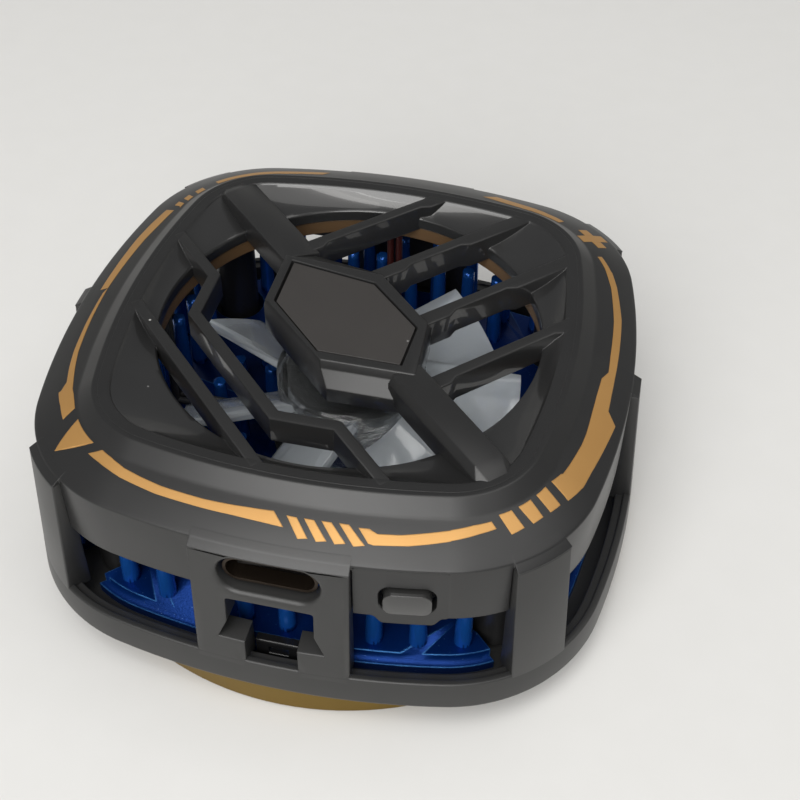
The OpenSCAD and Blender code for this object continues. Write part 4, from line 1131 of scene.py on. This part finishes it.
@dataclass
class Grille:
    """Ledge, funnel, bars, two arms and the badge block.

    Bar tops and the ledge are satin; the funnel and the deep bar walls are glossy.
    """

    ledge_in: float = 21.55
    ledge_out: float = 22.75
    top: float = 25.4
    seat: float = 24.1
    duct_r: float = 19.7
    lip_z: float = 23.9
    duct_z: float = 22.6
    bar_z: float = 22.4
    bar: float = 0.625
    root: float = 1.15
    hex_z: float = 26.2
    plate_z: float = 25.4
    slant: tuple[tuple[float, float], ...] = ((-12.3, 0.0), (-4.3, 5.5), (4.3, 5.5), (12.6, 0.0))
    bend: tuple[tuple[float, float], ...] = ((-21.1, 8.4), (-15.5, 2.8), (-15.5, -3.4), (-3.4, -15.5),
                                             (2.8, -15.5), (8.4, -21.1))
    outer: tuple[tuple[float, float], ...] = ((-21.4, -3.6), (-3.6, -21.4))

    def dish(self, shell: Shell) -> None:
        """Adds the ledge and the funnel as one surface of revolution-like rows.

        Along each ray the rows blend from the case outline to the round duct: the radius mixes the two with
        a weight that grows down the wall, and the height falls as a smooth step of the same weight.

        Args:
            shell: where it goes.
        """
        polar = np.linspace(0.0, 360.0, 288, endpoint=False)
        rad = np.radians(polar)
        ledge = OUTLINE.radius_at(polar, self.ledge_in)
        rows = [(OUTLINE.radius_at(polar, self.ledge_out), self.seat), (OUTLINE.radius_at(polar,
                                                                                          self.ledge_out),
                                                                                          self.top)]
        rows += [(OUTLINE.radius_at(polar, self.ledge_in + d), self.top - drop)
                 for d, drop in ((0.5, 0.0), (0.22, 0.0), (0.1, 0.03), (0.02, 0.1), (-0.04, 0.2))]
        for t in np.linspace(0.08, 0.94, 9):
            fall = 0.2 + (self.top - self.lip_z - 0.2) * (1.0 - (1.0 - t) ** 1.7)
            rows.append((ledge - 0.04 + (self.duct_r - ledge) * t, self.top - fall))
        rows += [(np.full(len(polar), self.duct_r + d), z) for d, z in
                 ((0.16, self.lip_z - 0.05), (0.07, self.lip_z - 0.12), (0.02, self.lip_z - 0.22),
                  (0.0, self.lip_z - 0.36), (0.0, self.duct_z), (1.0, self.duct_z))]
        rows.append((ledge + 0.4, self.seat + 0.1))
        p = np.stack([np.stack([r * np.cos(rad), r * np.sin(rad), np.full(len(polar), z)], -1) for r,
                      z in rows], 1)
        gloss = np.array([Face.SATIN.value] * 5 + [Face.GLOSS.value] * (len(rows) - 5))
        shell.grid(p, True, True, gloss)

    def reach(self, start: Array, along: Array, w: float) -> Array:
        """Where a ray from a point meets the outline of half size w, by halving the interval.

        Args:
            start: point in plan.
            along: unit direction.
            w: half size of the outline.

        Returns:
            The point.
        """
        low, high = 0.0, 60.0
        for _ in range(40):
            mid = (low + high) / 2
            p = start + mid * along
            near = float(np.hypot(*p)) < float(OUTLINE.radius_at(math.degrees(math.atan2(p[1], p[0])), w))
            low, high = (mid, high) if near else (low, mid)
        return start + low * along

    def ribbon(self, path: Array, half: Array) -> Array:
        """Outline of a bar of given half widths along a bent path, mitred at its bends.

        Args:
            path: points of the middle line.
            half: half width at each point.

        Returns:
            The outline, anticlockwise.
        """
        step = np.diff(path, axis=0)
        step /= np.linalg.norm(step, axis=1, keepdims=True)
        left = np.stack([-step[:, 1], step[:, 0]], 1)
        side = np.concatenate([left[:1], (left[:-1] + left[1:]) / (1 + np.sum(left[:-1] * left[1:], 1,
                                                                              keepdims=True)),
                               left[-1:]])
        return np.concatenate([path - side * half[:, None], (path + side * half[:, None])[::-1]])

    def bars(self, shell: Shell) -> None:
        """Adds the slanting bars with widened roots, the bent bar and the outer bar, as upright prisms.

        Args:
            shell: where it goes.
        """
        diagonal, across = np.array([1.0, 1.0]) / math.sqrt(2), np.array([1.0, -1.0]) / math.sqrt(2)
        kink = self.duct_r - 3.6
        for place_at, start in self.slant:
            far = [self.reach(place_at * across + d * across, diagonal, self.ledge_in + 0.45) @ diagonal
                   for d in (self.root, -self.bar)]
            flat = [(start, self.root), (start + 3.2, self.root), (start + 4.2, self.bar), (kink, self.bar),
                    (kink + 1.0, self.root), (far[0], self.root), (far[1], -self.bar), (start, -self.bar)]
            outline = np.array([u * diagonal + (place_at + v) * across for u, v in flat])
            prism(shell, outline, self.bar_z, self.top - 0.012, 0.16)
        for line in (self.bend, self.outer):
            path = np.array(line)
            for end, neighbour in ((0, 1), (-1, -2)):
                go = path[end] - path[neighbour]
                path[end] = self.reach(path[neighbour], go / np.linalg.norm(go), self.ledge_in + 0.45)
            prism(shell, self.ribbon(path, np.full(len(path), self.bar)), self.bar_z, self.top - 0.012, 0.16)

    def arm(self, turn: float, foot: tuple[float, float], ridge: tuple[float, float]) -> Array:
        """Corners of an arm: its deep foot, its shoulder on the ledge, and its ridge that stops short.

        Args:
            turn: direction in degrees.
            foot: sides of the foot, along the direction's left.
            ridge: sides of the ridge.

        Returns:
            The corners.
        """
        start, far = 10.5, float(OUTLINE.radius_at(45.0, 22.3))
        deep = float(OUTLINE.radius_at(45.0, self.ledge_in - 0.6))
        loops = [[(start, foot[0]), (deep, foot[0]), (deep, foot[1]), (start, foot[1])],
                 [(start, foot[0]), (far - 1, foot[0]), (far, foot[0] / 2), (far, foot[1] / 2), (far - 1,
                                                                                                 foot[1]),
                  (start, foot[1])],
                 [(start, ridge[0]), (far - 2, ridge[0]), (far - 2, ridge[1]), (start, ridge[1])]]
        heights = (self.seat - 1.2, self.top - 0.1, self.hex_z - 0.1)
        a = math.radians(turn)
        spin = np.array([[math.cos(a), math.sin(a)], [-math.sin(a), math.cos(a)]])
        return np.concatenate([np.column_stack([np.array(loop) @ spin, np.full(len(loop), z)])
                               for loop, z in zip(loops, heights)])

    def badge_block(self, shell: Shell) -> None:
        """Adds the six-sided block: rows from its foot over the shoulder to its top, then into the recess.

        Args:
            shell: where it goes.
        """
        foot = [(-9, 6.9), (-6, 8.6), (1.3, 7.2), (8.4, 0.1), (8.6, -8.4), (7.3, -9.6), (0, -9.6), (-9, -0.6)]
        shoulder = [(-9, 6.9), (-6, 8.5), (1.3, 7.2), (8.4, 0.1), (8.8, -8.2), (7.9, -8.3), (-0.9, -8.3),
                    (-9, -0.6)]
        top = [(-8.8, 6.9), (-7, 6.75), (1.9, 6), (8.1, -0.4), (8.5, -8), (7.6, -8), (-1, -8), (-8.8, -0.5)]
        recess = [(-7.9, 6.2), (-6.5, 5.96), (1.5, 4.6), (7.3, -1.2), (7, -7), (6.2, -6.99), (-1.6, -6.9),
                  (-7.9, -0.5)]
        loops = [(foot, self.bar_z - 0.2), (foot, 23.9), (shoulder, 25.3), (top, self.hex_z), (recess,
                                                                                               self.hex_z),
                 (recess, self.plate_z)]
        p = np.stack([np.column_stack([np.array(loop, float), np.full(8, z)]) for loop, z in loops], 1)
        shell.grid(p[::-1], True, False, np.array([1, 0, 0, 0, 0]))
        shell.cap(p[::-1, -1])
        shell.cap(p[:, 0], Face.GLOSS)

    def build(self) -> bpy.types.Object:
        """Builds the grille as one piece that stands for its node.

        Returns:
            The piece.
        """
        looks = [finish("black_satin"), finish("funnel_gloss")]
        shell = Shell()
        self.dish(shell)
        self.bars(shell)
        piece = shell.object("grille", looks, 32.0)
        blocks = Shell()
        self.badge_block(blocks)
        body = blocks.object("badge_block", looks, 24.0, 0.1)
        arms = [hull("arm_right", self.arm(-45.0, (-2.0, 2.0), (-1.4, 1.6)), looks, 0.1),
                hull("arm_left", self.arm(135.0, (-2.4, 2.0), (0.6, 1.9)), looks, 0.1)]
        for part in (body, *arms):
            dressed(part, Body.CASE, "black_satin")
        return dressed(piece, Body.CASE, "black_satin", "fan_grille")


@dataclass
class LowerShell:
    """Tray with a double sill, leaning pillars, front block with socket slot and vent, snap hook."""

    disc_h: float = 3.0
    sill_z: float = 7.4
    seam_z: float = 21.6
    flare: float = 1.05
    half_width: float = 30.0
    wall_in: float = 29.5
    sill_mid: float = 30.35
    pillar_in: float = 28.5
    port: tuple[float, float, float] = (9.65, 4.2, 19.2)
    vent: tuple[float, float, float] = (4.15, 2.5, 5.1)
    hook_half: float = 2.25
    hook_z: tuple[float, float] = (5.0, 8.1)
    hook_w: tuple[float, float] = (28.0, 28.85)
    hook_hole: tuple[float, float, float] = (1.0, 6.2, 7.2)

    def wall(self, z: float) -> float:
        """Half size of the leaning wall at a height."""
        return self.half_width + self.flare * (self.seam_z - z) / (self.seam_z - self.sill_z)

    def tray(self, shell: Shell) -> None:
        """Adds the tray ring and its floor: one closed profile carried all the way round.

        Args:
            shell: where it goes.
        """
        step = 0.4
        profile = rounded([(22.6, self.disc_h), (30.5, self.disc_h), (self.wall(4.1), 4.1),
                           (self.wall(self.sill_z), self.sill_z), (self.sill_mid, self.sill_z),
                           (self.sill_mid, self.sill_z - step), (self.wall_in, self.sill_z - step),
                           (self.wall_in, 4.6), (22.6, 4.6)],
                          [0.0, 0.35, 0.5, 0.2, 0.12, 0.08, 0.12, 0.1, 0.0], 4)
        sweep_solid(shell, OUTLINE.turns(), profile, True)

    def pillars(self, shell: Shell) -> None:
        """Adds the side, back and corner pillars: leaning profiles carried over short spans.

        Args:
            shell: where it goes.
        """
        root = self.sill_z - 0.9
        profile = np.array([(self.pillar_in, root), (self.wall(root) - 0.12, root),
                            (self.wall(root + 0.6) + 0.012, root + 0.6),
                            (self.half_width, self.seam_z + 0.03), (self.pillar_in, self.seam_z + 0.03)])
        places = [(0.0, 1.0), (90.0, 5.4), (180.0, 1.0)] + [(45.0 + 90.0 * i, 10.9) for i in range(4)]
        for middle, half in places:
            sweep_solid(shell, OUTLINE.turns_between(middle - half, middle + half, 0.9), profile, False)

    def front(self, shell: Shell) -> None:
        """Adds the front block: a side panel with the slot as a hole and the vent cut in from below.

        Args:
            shell: where it goes.
        """
        half = (self.half_width - OUTLINE.side_centre) * math.radians(5.4)
        low = self.sill_z - 1.0
        wide, slot, tip = self.vent
        top, neck, side = self.sill_z + 8.5, self.sill_z + 3.14, self.sill_z + 5.27
        right = [(slot, low), (slot, neck), (tip, neck), (wide, side), (wide, top)]
        outline = [(half, low), (half, self.seam_z + 0.03), (-half, self.seam_z + 0.03), (-half, low)]
        outline += [(-x, z) for x, z in right] + right[::-1]
        back = rounded(outline, [0.0] * 4 + [0.0, 0.0, 0.0, 0.2, 0.3] + [0.3, 0.2, 0.0, 0.0, 0.0], 3)
        front = [(x, z - (0.3 if abs(z - neck) < 1e-6 else 0.0)) for x, z in outline]
        face = rounded(front, [0.0] * 4 + [0.0, 0.0, 0.0, 0.2, 0.3] + [0.3, 0.2, 0.0, 0.0, 0.0], 3)
        w, h, z = self.port
        hole = rounded([(-w / 2, z - h / 2), (w / 2, z - h / 2), (w / 2, z + h / 2), (-w / 2, z + h / 2)],
                       [h / 2 - 0.02] * 4, 10)
        panel = SidePanel(270.0, self.pillar_in, self.wall(low) + 0.012, self.half_width, low, self.seam_z,
                          tuck=0.16)
        panel.add(shell, face, [hole], [0.45], back)

    def hook(self, shell: Shell) -> None:
        """Adds the snap hook: a small plate with a square hole that stands in the vent."""
        (low, high), (back, front), half = self.hook_z, self.hook_w, self.hook_half
        across, under, over = self.hook_hole
        flat = np.array([(-half, low), (half, low), (half, high), (-half, high)])
        hole = np.array([(-across, under), (across, under), (across, over), (-across, over)])
        SidePanel(270.0, back, front, front, low, high, 0.1).add(shell, flat, [hole])

    def build(self) -> bpy.types.Object:
        """Builds the shell as one piece that stands for its node.

        Returns:
            The piece.
        """
        shell = Shell()
        self.tray(shell)
        self.front(shell)
        piece = shell.object("tray", [finish("black_shell")], 32.0)
        # The hook takes the darker black_gloss rather than the shell's own finish: painted shade for the hook
        # deep in the vent.
        clip = Shell()
        self.hook(clip)
        dressed(clip.object("snap_hook", [finish("black_gloss")], 32.0), Body.CASE, "black_shell")
        stand = Shell()
        self.pillars(stand)
        dressed(stand.object("pillars", [finish("black_shell")], 32.0, 0.12), Body.CASE, "black_shell")
        return dressed(piece, Body.CASE, "black_shell", "lower_shell")


@dataclass
class Print:
    """Gold stripes, blocks, slashes, dashes and a small cross printed on the band.

    A mark is a row of stations, each with a normal angle and a half size for its inner and its outer edge.
    The ink lies on the band, a hair above it.
    """

    lift: float = 0.02
    left: Marks = (
        ((168.9, 25.8, 168.7, 27.0), (171.2, 26.0, 170.8, 27.35), (173.3, 26.27, 173.0, 27.55),
         (177.7, 26.5, 177.7, 27.5), (179.85, 26.6, 179.9, 27.5)),
        ((179.85, 26.6, 180.4, 26.9), (183.75, 26.48, 183.85, 26.93), (187.6, 26.27, 187.3, 26.87),
         (189.6, 25.92, 189.1, 26.68), (191.6, 25.5, 190.9, 26.37), (196.5, 25.22, 192.3, 26.93),
         (202.1, 25.08, 202.0, 26.5), (207.6, 25.05, 211.3, 26.35)),
        ((216.0, 25.0, 224.25, 28.05), (235.8, 25.0, 224.35, 28.05)),
    )
    front: Marks = (
        ((242.8, 25.0, 238.0, 26.0), (249.5, 25.12, 245.5, 26.05), (256.1, 25.38, 252.4, 26.2),
         (258.0, 25.47, 258.0, 26.38), (259.7, 25.75, 259.4, 26.55), (261.5, 25.96, 261.3, 26.75), (264.8,
                                                                                                    26.0,
                                                                                                    265.1,
                                                                                                    26.78),
         (266.5, 25.9, 267.0, 26.75), (268.1, 25.78, 268.8, 26.8), (269.7, 25.67, 270.6, 26.9)),
        *(((270.62 + 1.21 * i, 25.85, 271.7 + 1.24 * i, 27.65), (271.34 + 1.2 * i, 25.88, 272.36 + 1.27 * i,
                                                                 27.5))
          for i in range(4)),
        ((275.59, 26.05, 276.37, 27.3), (276.31, 26.05, 276.75, 27.4), (276.9, 26.42, 277.3, 27.36),
         (278.5, 26.36, 279.05, 27.25), (279.75, 26.16, 280.2, 27.05), (280.9, 25.95, 281.2, 26.85),
         (282.0, 25.74, 282.0, 26.68), (285.0, 25.64, 286.5, 26.51), (292.3, 25.43, 294.0, 26.25), (300.75,
                                                                                                    25.38,
                                                                                                    301.9,
                                                                                                    26.1)),
    )
    right: Marks = (
        ((305.2, 25.0, 307.1, 26.93), (312.2, 25.0, 313.5, 26.8)),
        ((316.2, 25.0, 317.8, 26.85), (323.9, 25.0, 323.4, 26.81)),
        ((328.0, 25.0, 327.5, 26.87), (335.4, 25.0, 333.6, 26.97)),
        ((340.1, 25.1, 337.8, 27.21), (347.3, 25.45, 346.9, 27.6), (349.2, 25.77, 349.7, 27.78),
         (351.5, 26.05, 353.1, 28.18), (352.7, 26.08, 354.9, 28.4), (355.0, 25.97, 355.9, 27.4),
         (356.8, 25.95, 357.6, 27.33), (358.75, 26.05, 359.4, 27.33), (359.7, 26.6, 360.2, 27.36),
         (361.6, 26.55, 362.1, 27.41), (365.65, 26.66, 366.15, 27.52), (369.7, 26.5, 370.1, 27.2),
         (371.6, 26.15, 372.3, 26.75), (382.5, 25.6, 383.4, 26.15)),
    )
    back: Marks = (
        ((137.5, 25.3, 137.0, 26.2), (120.0, 25.25, 120.0, 26.25), (104.0, 25.5, 104.0, 26.5),
         (102.0, 25.6, 102.0, 26.6), (97.5, 26.2, 97.0, 27.2)),
        ((443.0, 26.2, 442.0, 27.4), (440.8, 25.6, 440.4, 26.9), (438.0, 25.25, 438.0, 26.4), (434.0, 25.15,
                                                                                               433.5,
                                                                                               26.25),
         (430.0, 25.05, 429.5, 26.05), (419.3, 25.05, 419.1, 25.95)),
    )
    squares: Marks = (
        ((168.5, 25.3, 167.1, 26.4), (165.3, 25.3, 163.1, 26.4)),
        ((162.1, 25.2, 160.0, 26.2), (157.3, 25.2, 155.6, 26.2)),
        ((153.3, 25.15, 151.4, 26.1), (147.4, 25.15, 146.1, 26.1)),
    )
    cross: tuple[float, float, float, float] = (40.4, 26.75, 1.8, 0.62)

    def locate(self, plan: Array) -> tuple[Array, Array]:
        """Normal angle and half size of plan points near a corner: the corner arc in reverse."""
        c, quarter = OUTLINE.corner_centre, np.sign(plan)
        off = plan - quarter * c
        w = np.hypot(off[..., 0], off[..., 1]) + OUTLINE.half_width - OUTLINE.corner_radius
        return np.degrees(np.arctan2(off[..., 1], off[..., 0])), w

    def flat_mark(self, shell: Shell, plan: Array) -> None:
        """Adds a small mark that is drawn in plan as two rows of points, inner and outer."""
        turns, w = self.locate(plan)
        self.patch(shell, np.column_stack([turns[0], w[0], turns[1], w[1]]), 3, 3)

    def patch(self, shell: Shell, stations: Array, across: int = 4, along: int = 12) -> None:
        """Adds one patch: stations are joined along, filled across, and set on the band's height.

        Args:
            shell: where it goes.
            stations: rows of inner angle, inner half size, outer angle, outer half size.
            across: steps from the inner to the outer edge.
            along: steps between two stations.
        """
        t = np.linspace(0, len(stations) - 1, (len(stations) - 1) * along + 1)
        rows = np.stack([np.interp(t, np.arange(len(stations)), stations[:, i]) for i in range(4)], 1)
        v = np.linspace(0.0, 1.0, across + 1)[None, :]
        turns = rows[:, 0:1] * (1 - v) + rows[:, 2:3] * v
        w = rows[:, 1:2] * (1 - v) + rows[:, 3:4] * v
        x, y = OUTLINE.at(turns, w)
        top = np.stack([x, y, BAND.height(w) + self.lift], -1)
        base = top - np.array([0.0, 0.0, 2 * self.lift])
        shell.grid(np.concatenate([top, base[:, ::-1]], 1), False, True)
        shell.cap(np.concatenate([top[0], base[0, ::-1]]))
        shell.cap(np.concatenate([top[-1], base[-1, ::-1]]), flip=True)

    def build(self) -> bpy.types.Object:
        """Builds all marks as one piece on the case.

        Returns:
            The piece.
        """
        shell = Shell()
        for stations in (*self.left, *self.squares, *self.front, *self.right, *self.back):
            self.patch(shell, np.asarray(stations, float))
        turn, w, arm, half = self.cross
        x, y = OUTLINE.at(np.array(turn), np.array(w))
        lean = math.radians(turn + 5.0)
        spin = np.array([[math.cos(lean), math.sin(lean)], [-math.sin(lean), math.cos(lean)]])
        for bars in (((-arm, arm), (-half, half)), ((-half, half), (half, arm)), ((-half, half), (-arm,
                                                                                                  -half))):
            (a0, a1), (b0, b1) = bars
            rows = np.array([[(a0, b0), (a1, b0)], [(a0, b1), (a1, b1)]]) @ spin + np.array([x, y])
            self.flat_mark(shell, rows)
        piece = shell.object("gold_print", [finish("gold_print")], 40.0)
        return dressed(piece, Body.CASE, "gold_metal")


@dataclass
class Stage:
    """Pale floor, soft lamps, world and the camera of the photograph."""

    lens: float = 57.735
    azimuth: float = 12.27
    elevation: float = 44.66
    roll: float = 0.88
    distance: float = 127.3
    target: tuple[float, float, float] = (6.88, -7.15, 21.6)

    def camera(self) -> None:
        """Makes the camera: its back axis from azimuth and elevation, then rolled about it."""
        az, el, roll = (math.radians(a) for a in (self.azimuth, self.elevation, self.roll))
        back = Vector((math.sin(az) * math.cos(el), -math.cos(az) * math.cos(el), math.sin(el)))
        right = Vector((math.cos(az), math.sin(az), 0.0))
        up = back.cross(right)
        r = right * math.cos(roll) + up * math.sin(roll)
        u = up * math.cos(roll) - right * math.sin(roll)
        data = bpy.data.cameras.new("camera")
        data.lens, data.sensor_width = self.lens, 36.0
        data.clip_start, data.clip_end = 0.005, 20.0
        made = bpy.data.objects.new("camera", data)
        spot = (Vector(self.target) + back * self.distance) * MM
        made.matrix_world = Matrix.Translation(spot) @ Matrix((r, u, back)).transposed().to_4x4()
        bpy.context.scene.collection.objects.link(made)
        bpy.context.scene.camera = made

    def floor(self) -> None:
        """Makes the floor: a disc of rings whose far edge rises into a backdrop all round."""
        r = np.array([0.0, 120.0, 300.0, 700.0, 1100.0, 1300.0, 1450.0, 1500.0])
        z = np.array([0.0, 0.0, 0.0, 0.0, 20.0, 90.0, 260.0, 600.0])
        shell = Shell()
        lathe(shell, np.column_stack([r, z]), (0.0, 0.0), 72)
        paper = Finish("paper", (0.69, 0.687, 0.672), (0.715, 0.712, 0.70), 0.75, grain=700.0, depth=0.1,
                       wear_and_highlight=0.0)
        made = shell.object("floor", [paper.build()], 60.0)
        flip = bmesh.new()
        flip.from_mesh(made.data)
        up = sum(f.normal.z for f in flip.faces)
        if up < 0:
            bmesh.ops.reverse_faces(flip, faces=flip.faces)
        flip.to_mesh(made.data)
        flip.free()

    def lamp(self, name: str, spot: Colour, size: float, power: float, colour: Colour) -> None:
        """Makes a square area lamp that looks at the object.

        Args:
            name: its name.
            spot: where it is, in metres.
            size: side of the square, in metres.
            power: watts.
            colour: colour of its light.
        """
        data = bpy.data.lights.new(name, "AREA")
        data.size, data.energy, data.color = size, power, colour
        made = bpy.data.objects.new(name, data)
        made.location = spot
        made.rotation_mode = "QUATERNION"
        made.rotation_quaternion = (Vector((0, 0, 0.015)) - Vector(spot)).to_track_quat("-Z", "Y")
        bpy.context.scene.collection.objects.link(made)

    def build(self) -> None:
        """Makes camera, floor, lamps and world."""
        self.camera()
        self.floor()
        self.lamp("ceiling", (0.25, 0.0, 0.9), 0.8, 2.8, (1.0, 0.985, 0.96))
        self.lamp("key", (-0.1, -0.3, 0.8), 0.34, 1.7, (1.0, 0.985, 0.96))
        self.lamp("window", (-0.05, -0.62, 0.5), 0.6, 5.6, (1.0, 0.99, 0.975))
        world = bpy.data.worlds.new("soft room")
        world.use_nodes = True
        world.node_tree.nodes["Background"].inputs["Color"].default_value = (0.9, 0.91, 0.92, 1.0)
        world.node_tree.nodes["Background"].inputs["Strength"].default_value = 0.24
        bpy.context.scene.world = world
        bpy.context.scene.view_settings.view_transform = "Standard"


@dataclass
class Inside:
    """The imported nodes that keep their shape: merged copies where they show, and finishes for all of them."""

    shown: tuple[str, ...] = ("heatsink_base", "heatsink_pins", "impeller", "badge_plate", "magnet_carrier",
                              "usb_shell",
                              "usb_tongue", "button_cap", "control_board", "cold_plate", "rotor_yoke",
                              "motor_base", "switch_body")
    own: dict[str, str] = field(default_factory=lambda: {"heatsink_pins": "blue_pins",
                                                         "button_cap": "button_gloss"})
    soft: dict[str, float] = field(default_factory=lambda: {"button_cap": 0.3})
    hub_r: float = 8.1
    slots: dict[str, str] = field(default_factory=dict)

    def copy(self, node: bpy.types.Object, body: Body, sharp: float = 20.0) -> None:
        """Makes a merged, smoothly shaded copy of a node that stands for it.

        Args:
            node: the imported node.
            body: the body that it rides on.
            sharp: angle in degrees from which an edge stays sharp.
        """
        mesh = node.data.copy()
        mesh.materials.clear()
        mesh.materials.append(finish(self.own.get(node.name, self.slots[node.name])))
        index = np.zeros(len(mesh.polygons), np.int32)
        if node.name == "impeller":
            mesh.materials.append(finish("clear_hub"))
            middles = np.empty(3 * len(mesh.polygons))
            mesh.polygons.foreach_get("center", middles)
            index = (np.hypot(middles[0::3], middles[1::3]) < self.hub_r * MM).astype(np.int32)
        mesh.polygons.foreach_set("material_index", index)
        piece = place(mesh, node.name + "_smooth", sharp, self.soft.get(node.name, 0.0))
        dressed(piece, body, self.slots[node.name], node.name)

    def build(self, frame: dict, replaced: set[str]) -> None:
        """Dresses every node that no new piece stands for.

        Args:
            frame: what the loader gave.
            replaced: nodes that new pieces stand for.
        """
        self.slots = {s["node"]: s["material_slot"] for s in frame["record"]["subparts"]}
        for name, node in frame["nodes"].items():
            if name in replaced:
                continue
            if name in self.shown:
                self.copy(node, Body(node["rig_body"]))
                continue
            node.data.materials.clear()
            node.data.materials.append(finish(self.slots[name]))


def main() -> None:
    """Loads the model and builds the stage and each sub-assembly."""
    logging.basicConfig(level=logging.INFO, format="%(name)s: %(message)s")
    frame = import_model()
    Stage().build()
    Bezel().build()
    Grille().build()
    LowerShell().build()
    Print().build()
    Inside().build(frame, {"top_bezel", "fan_grille", "lower_shell"})


if __name__ == "__main__":
    main()
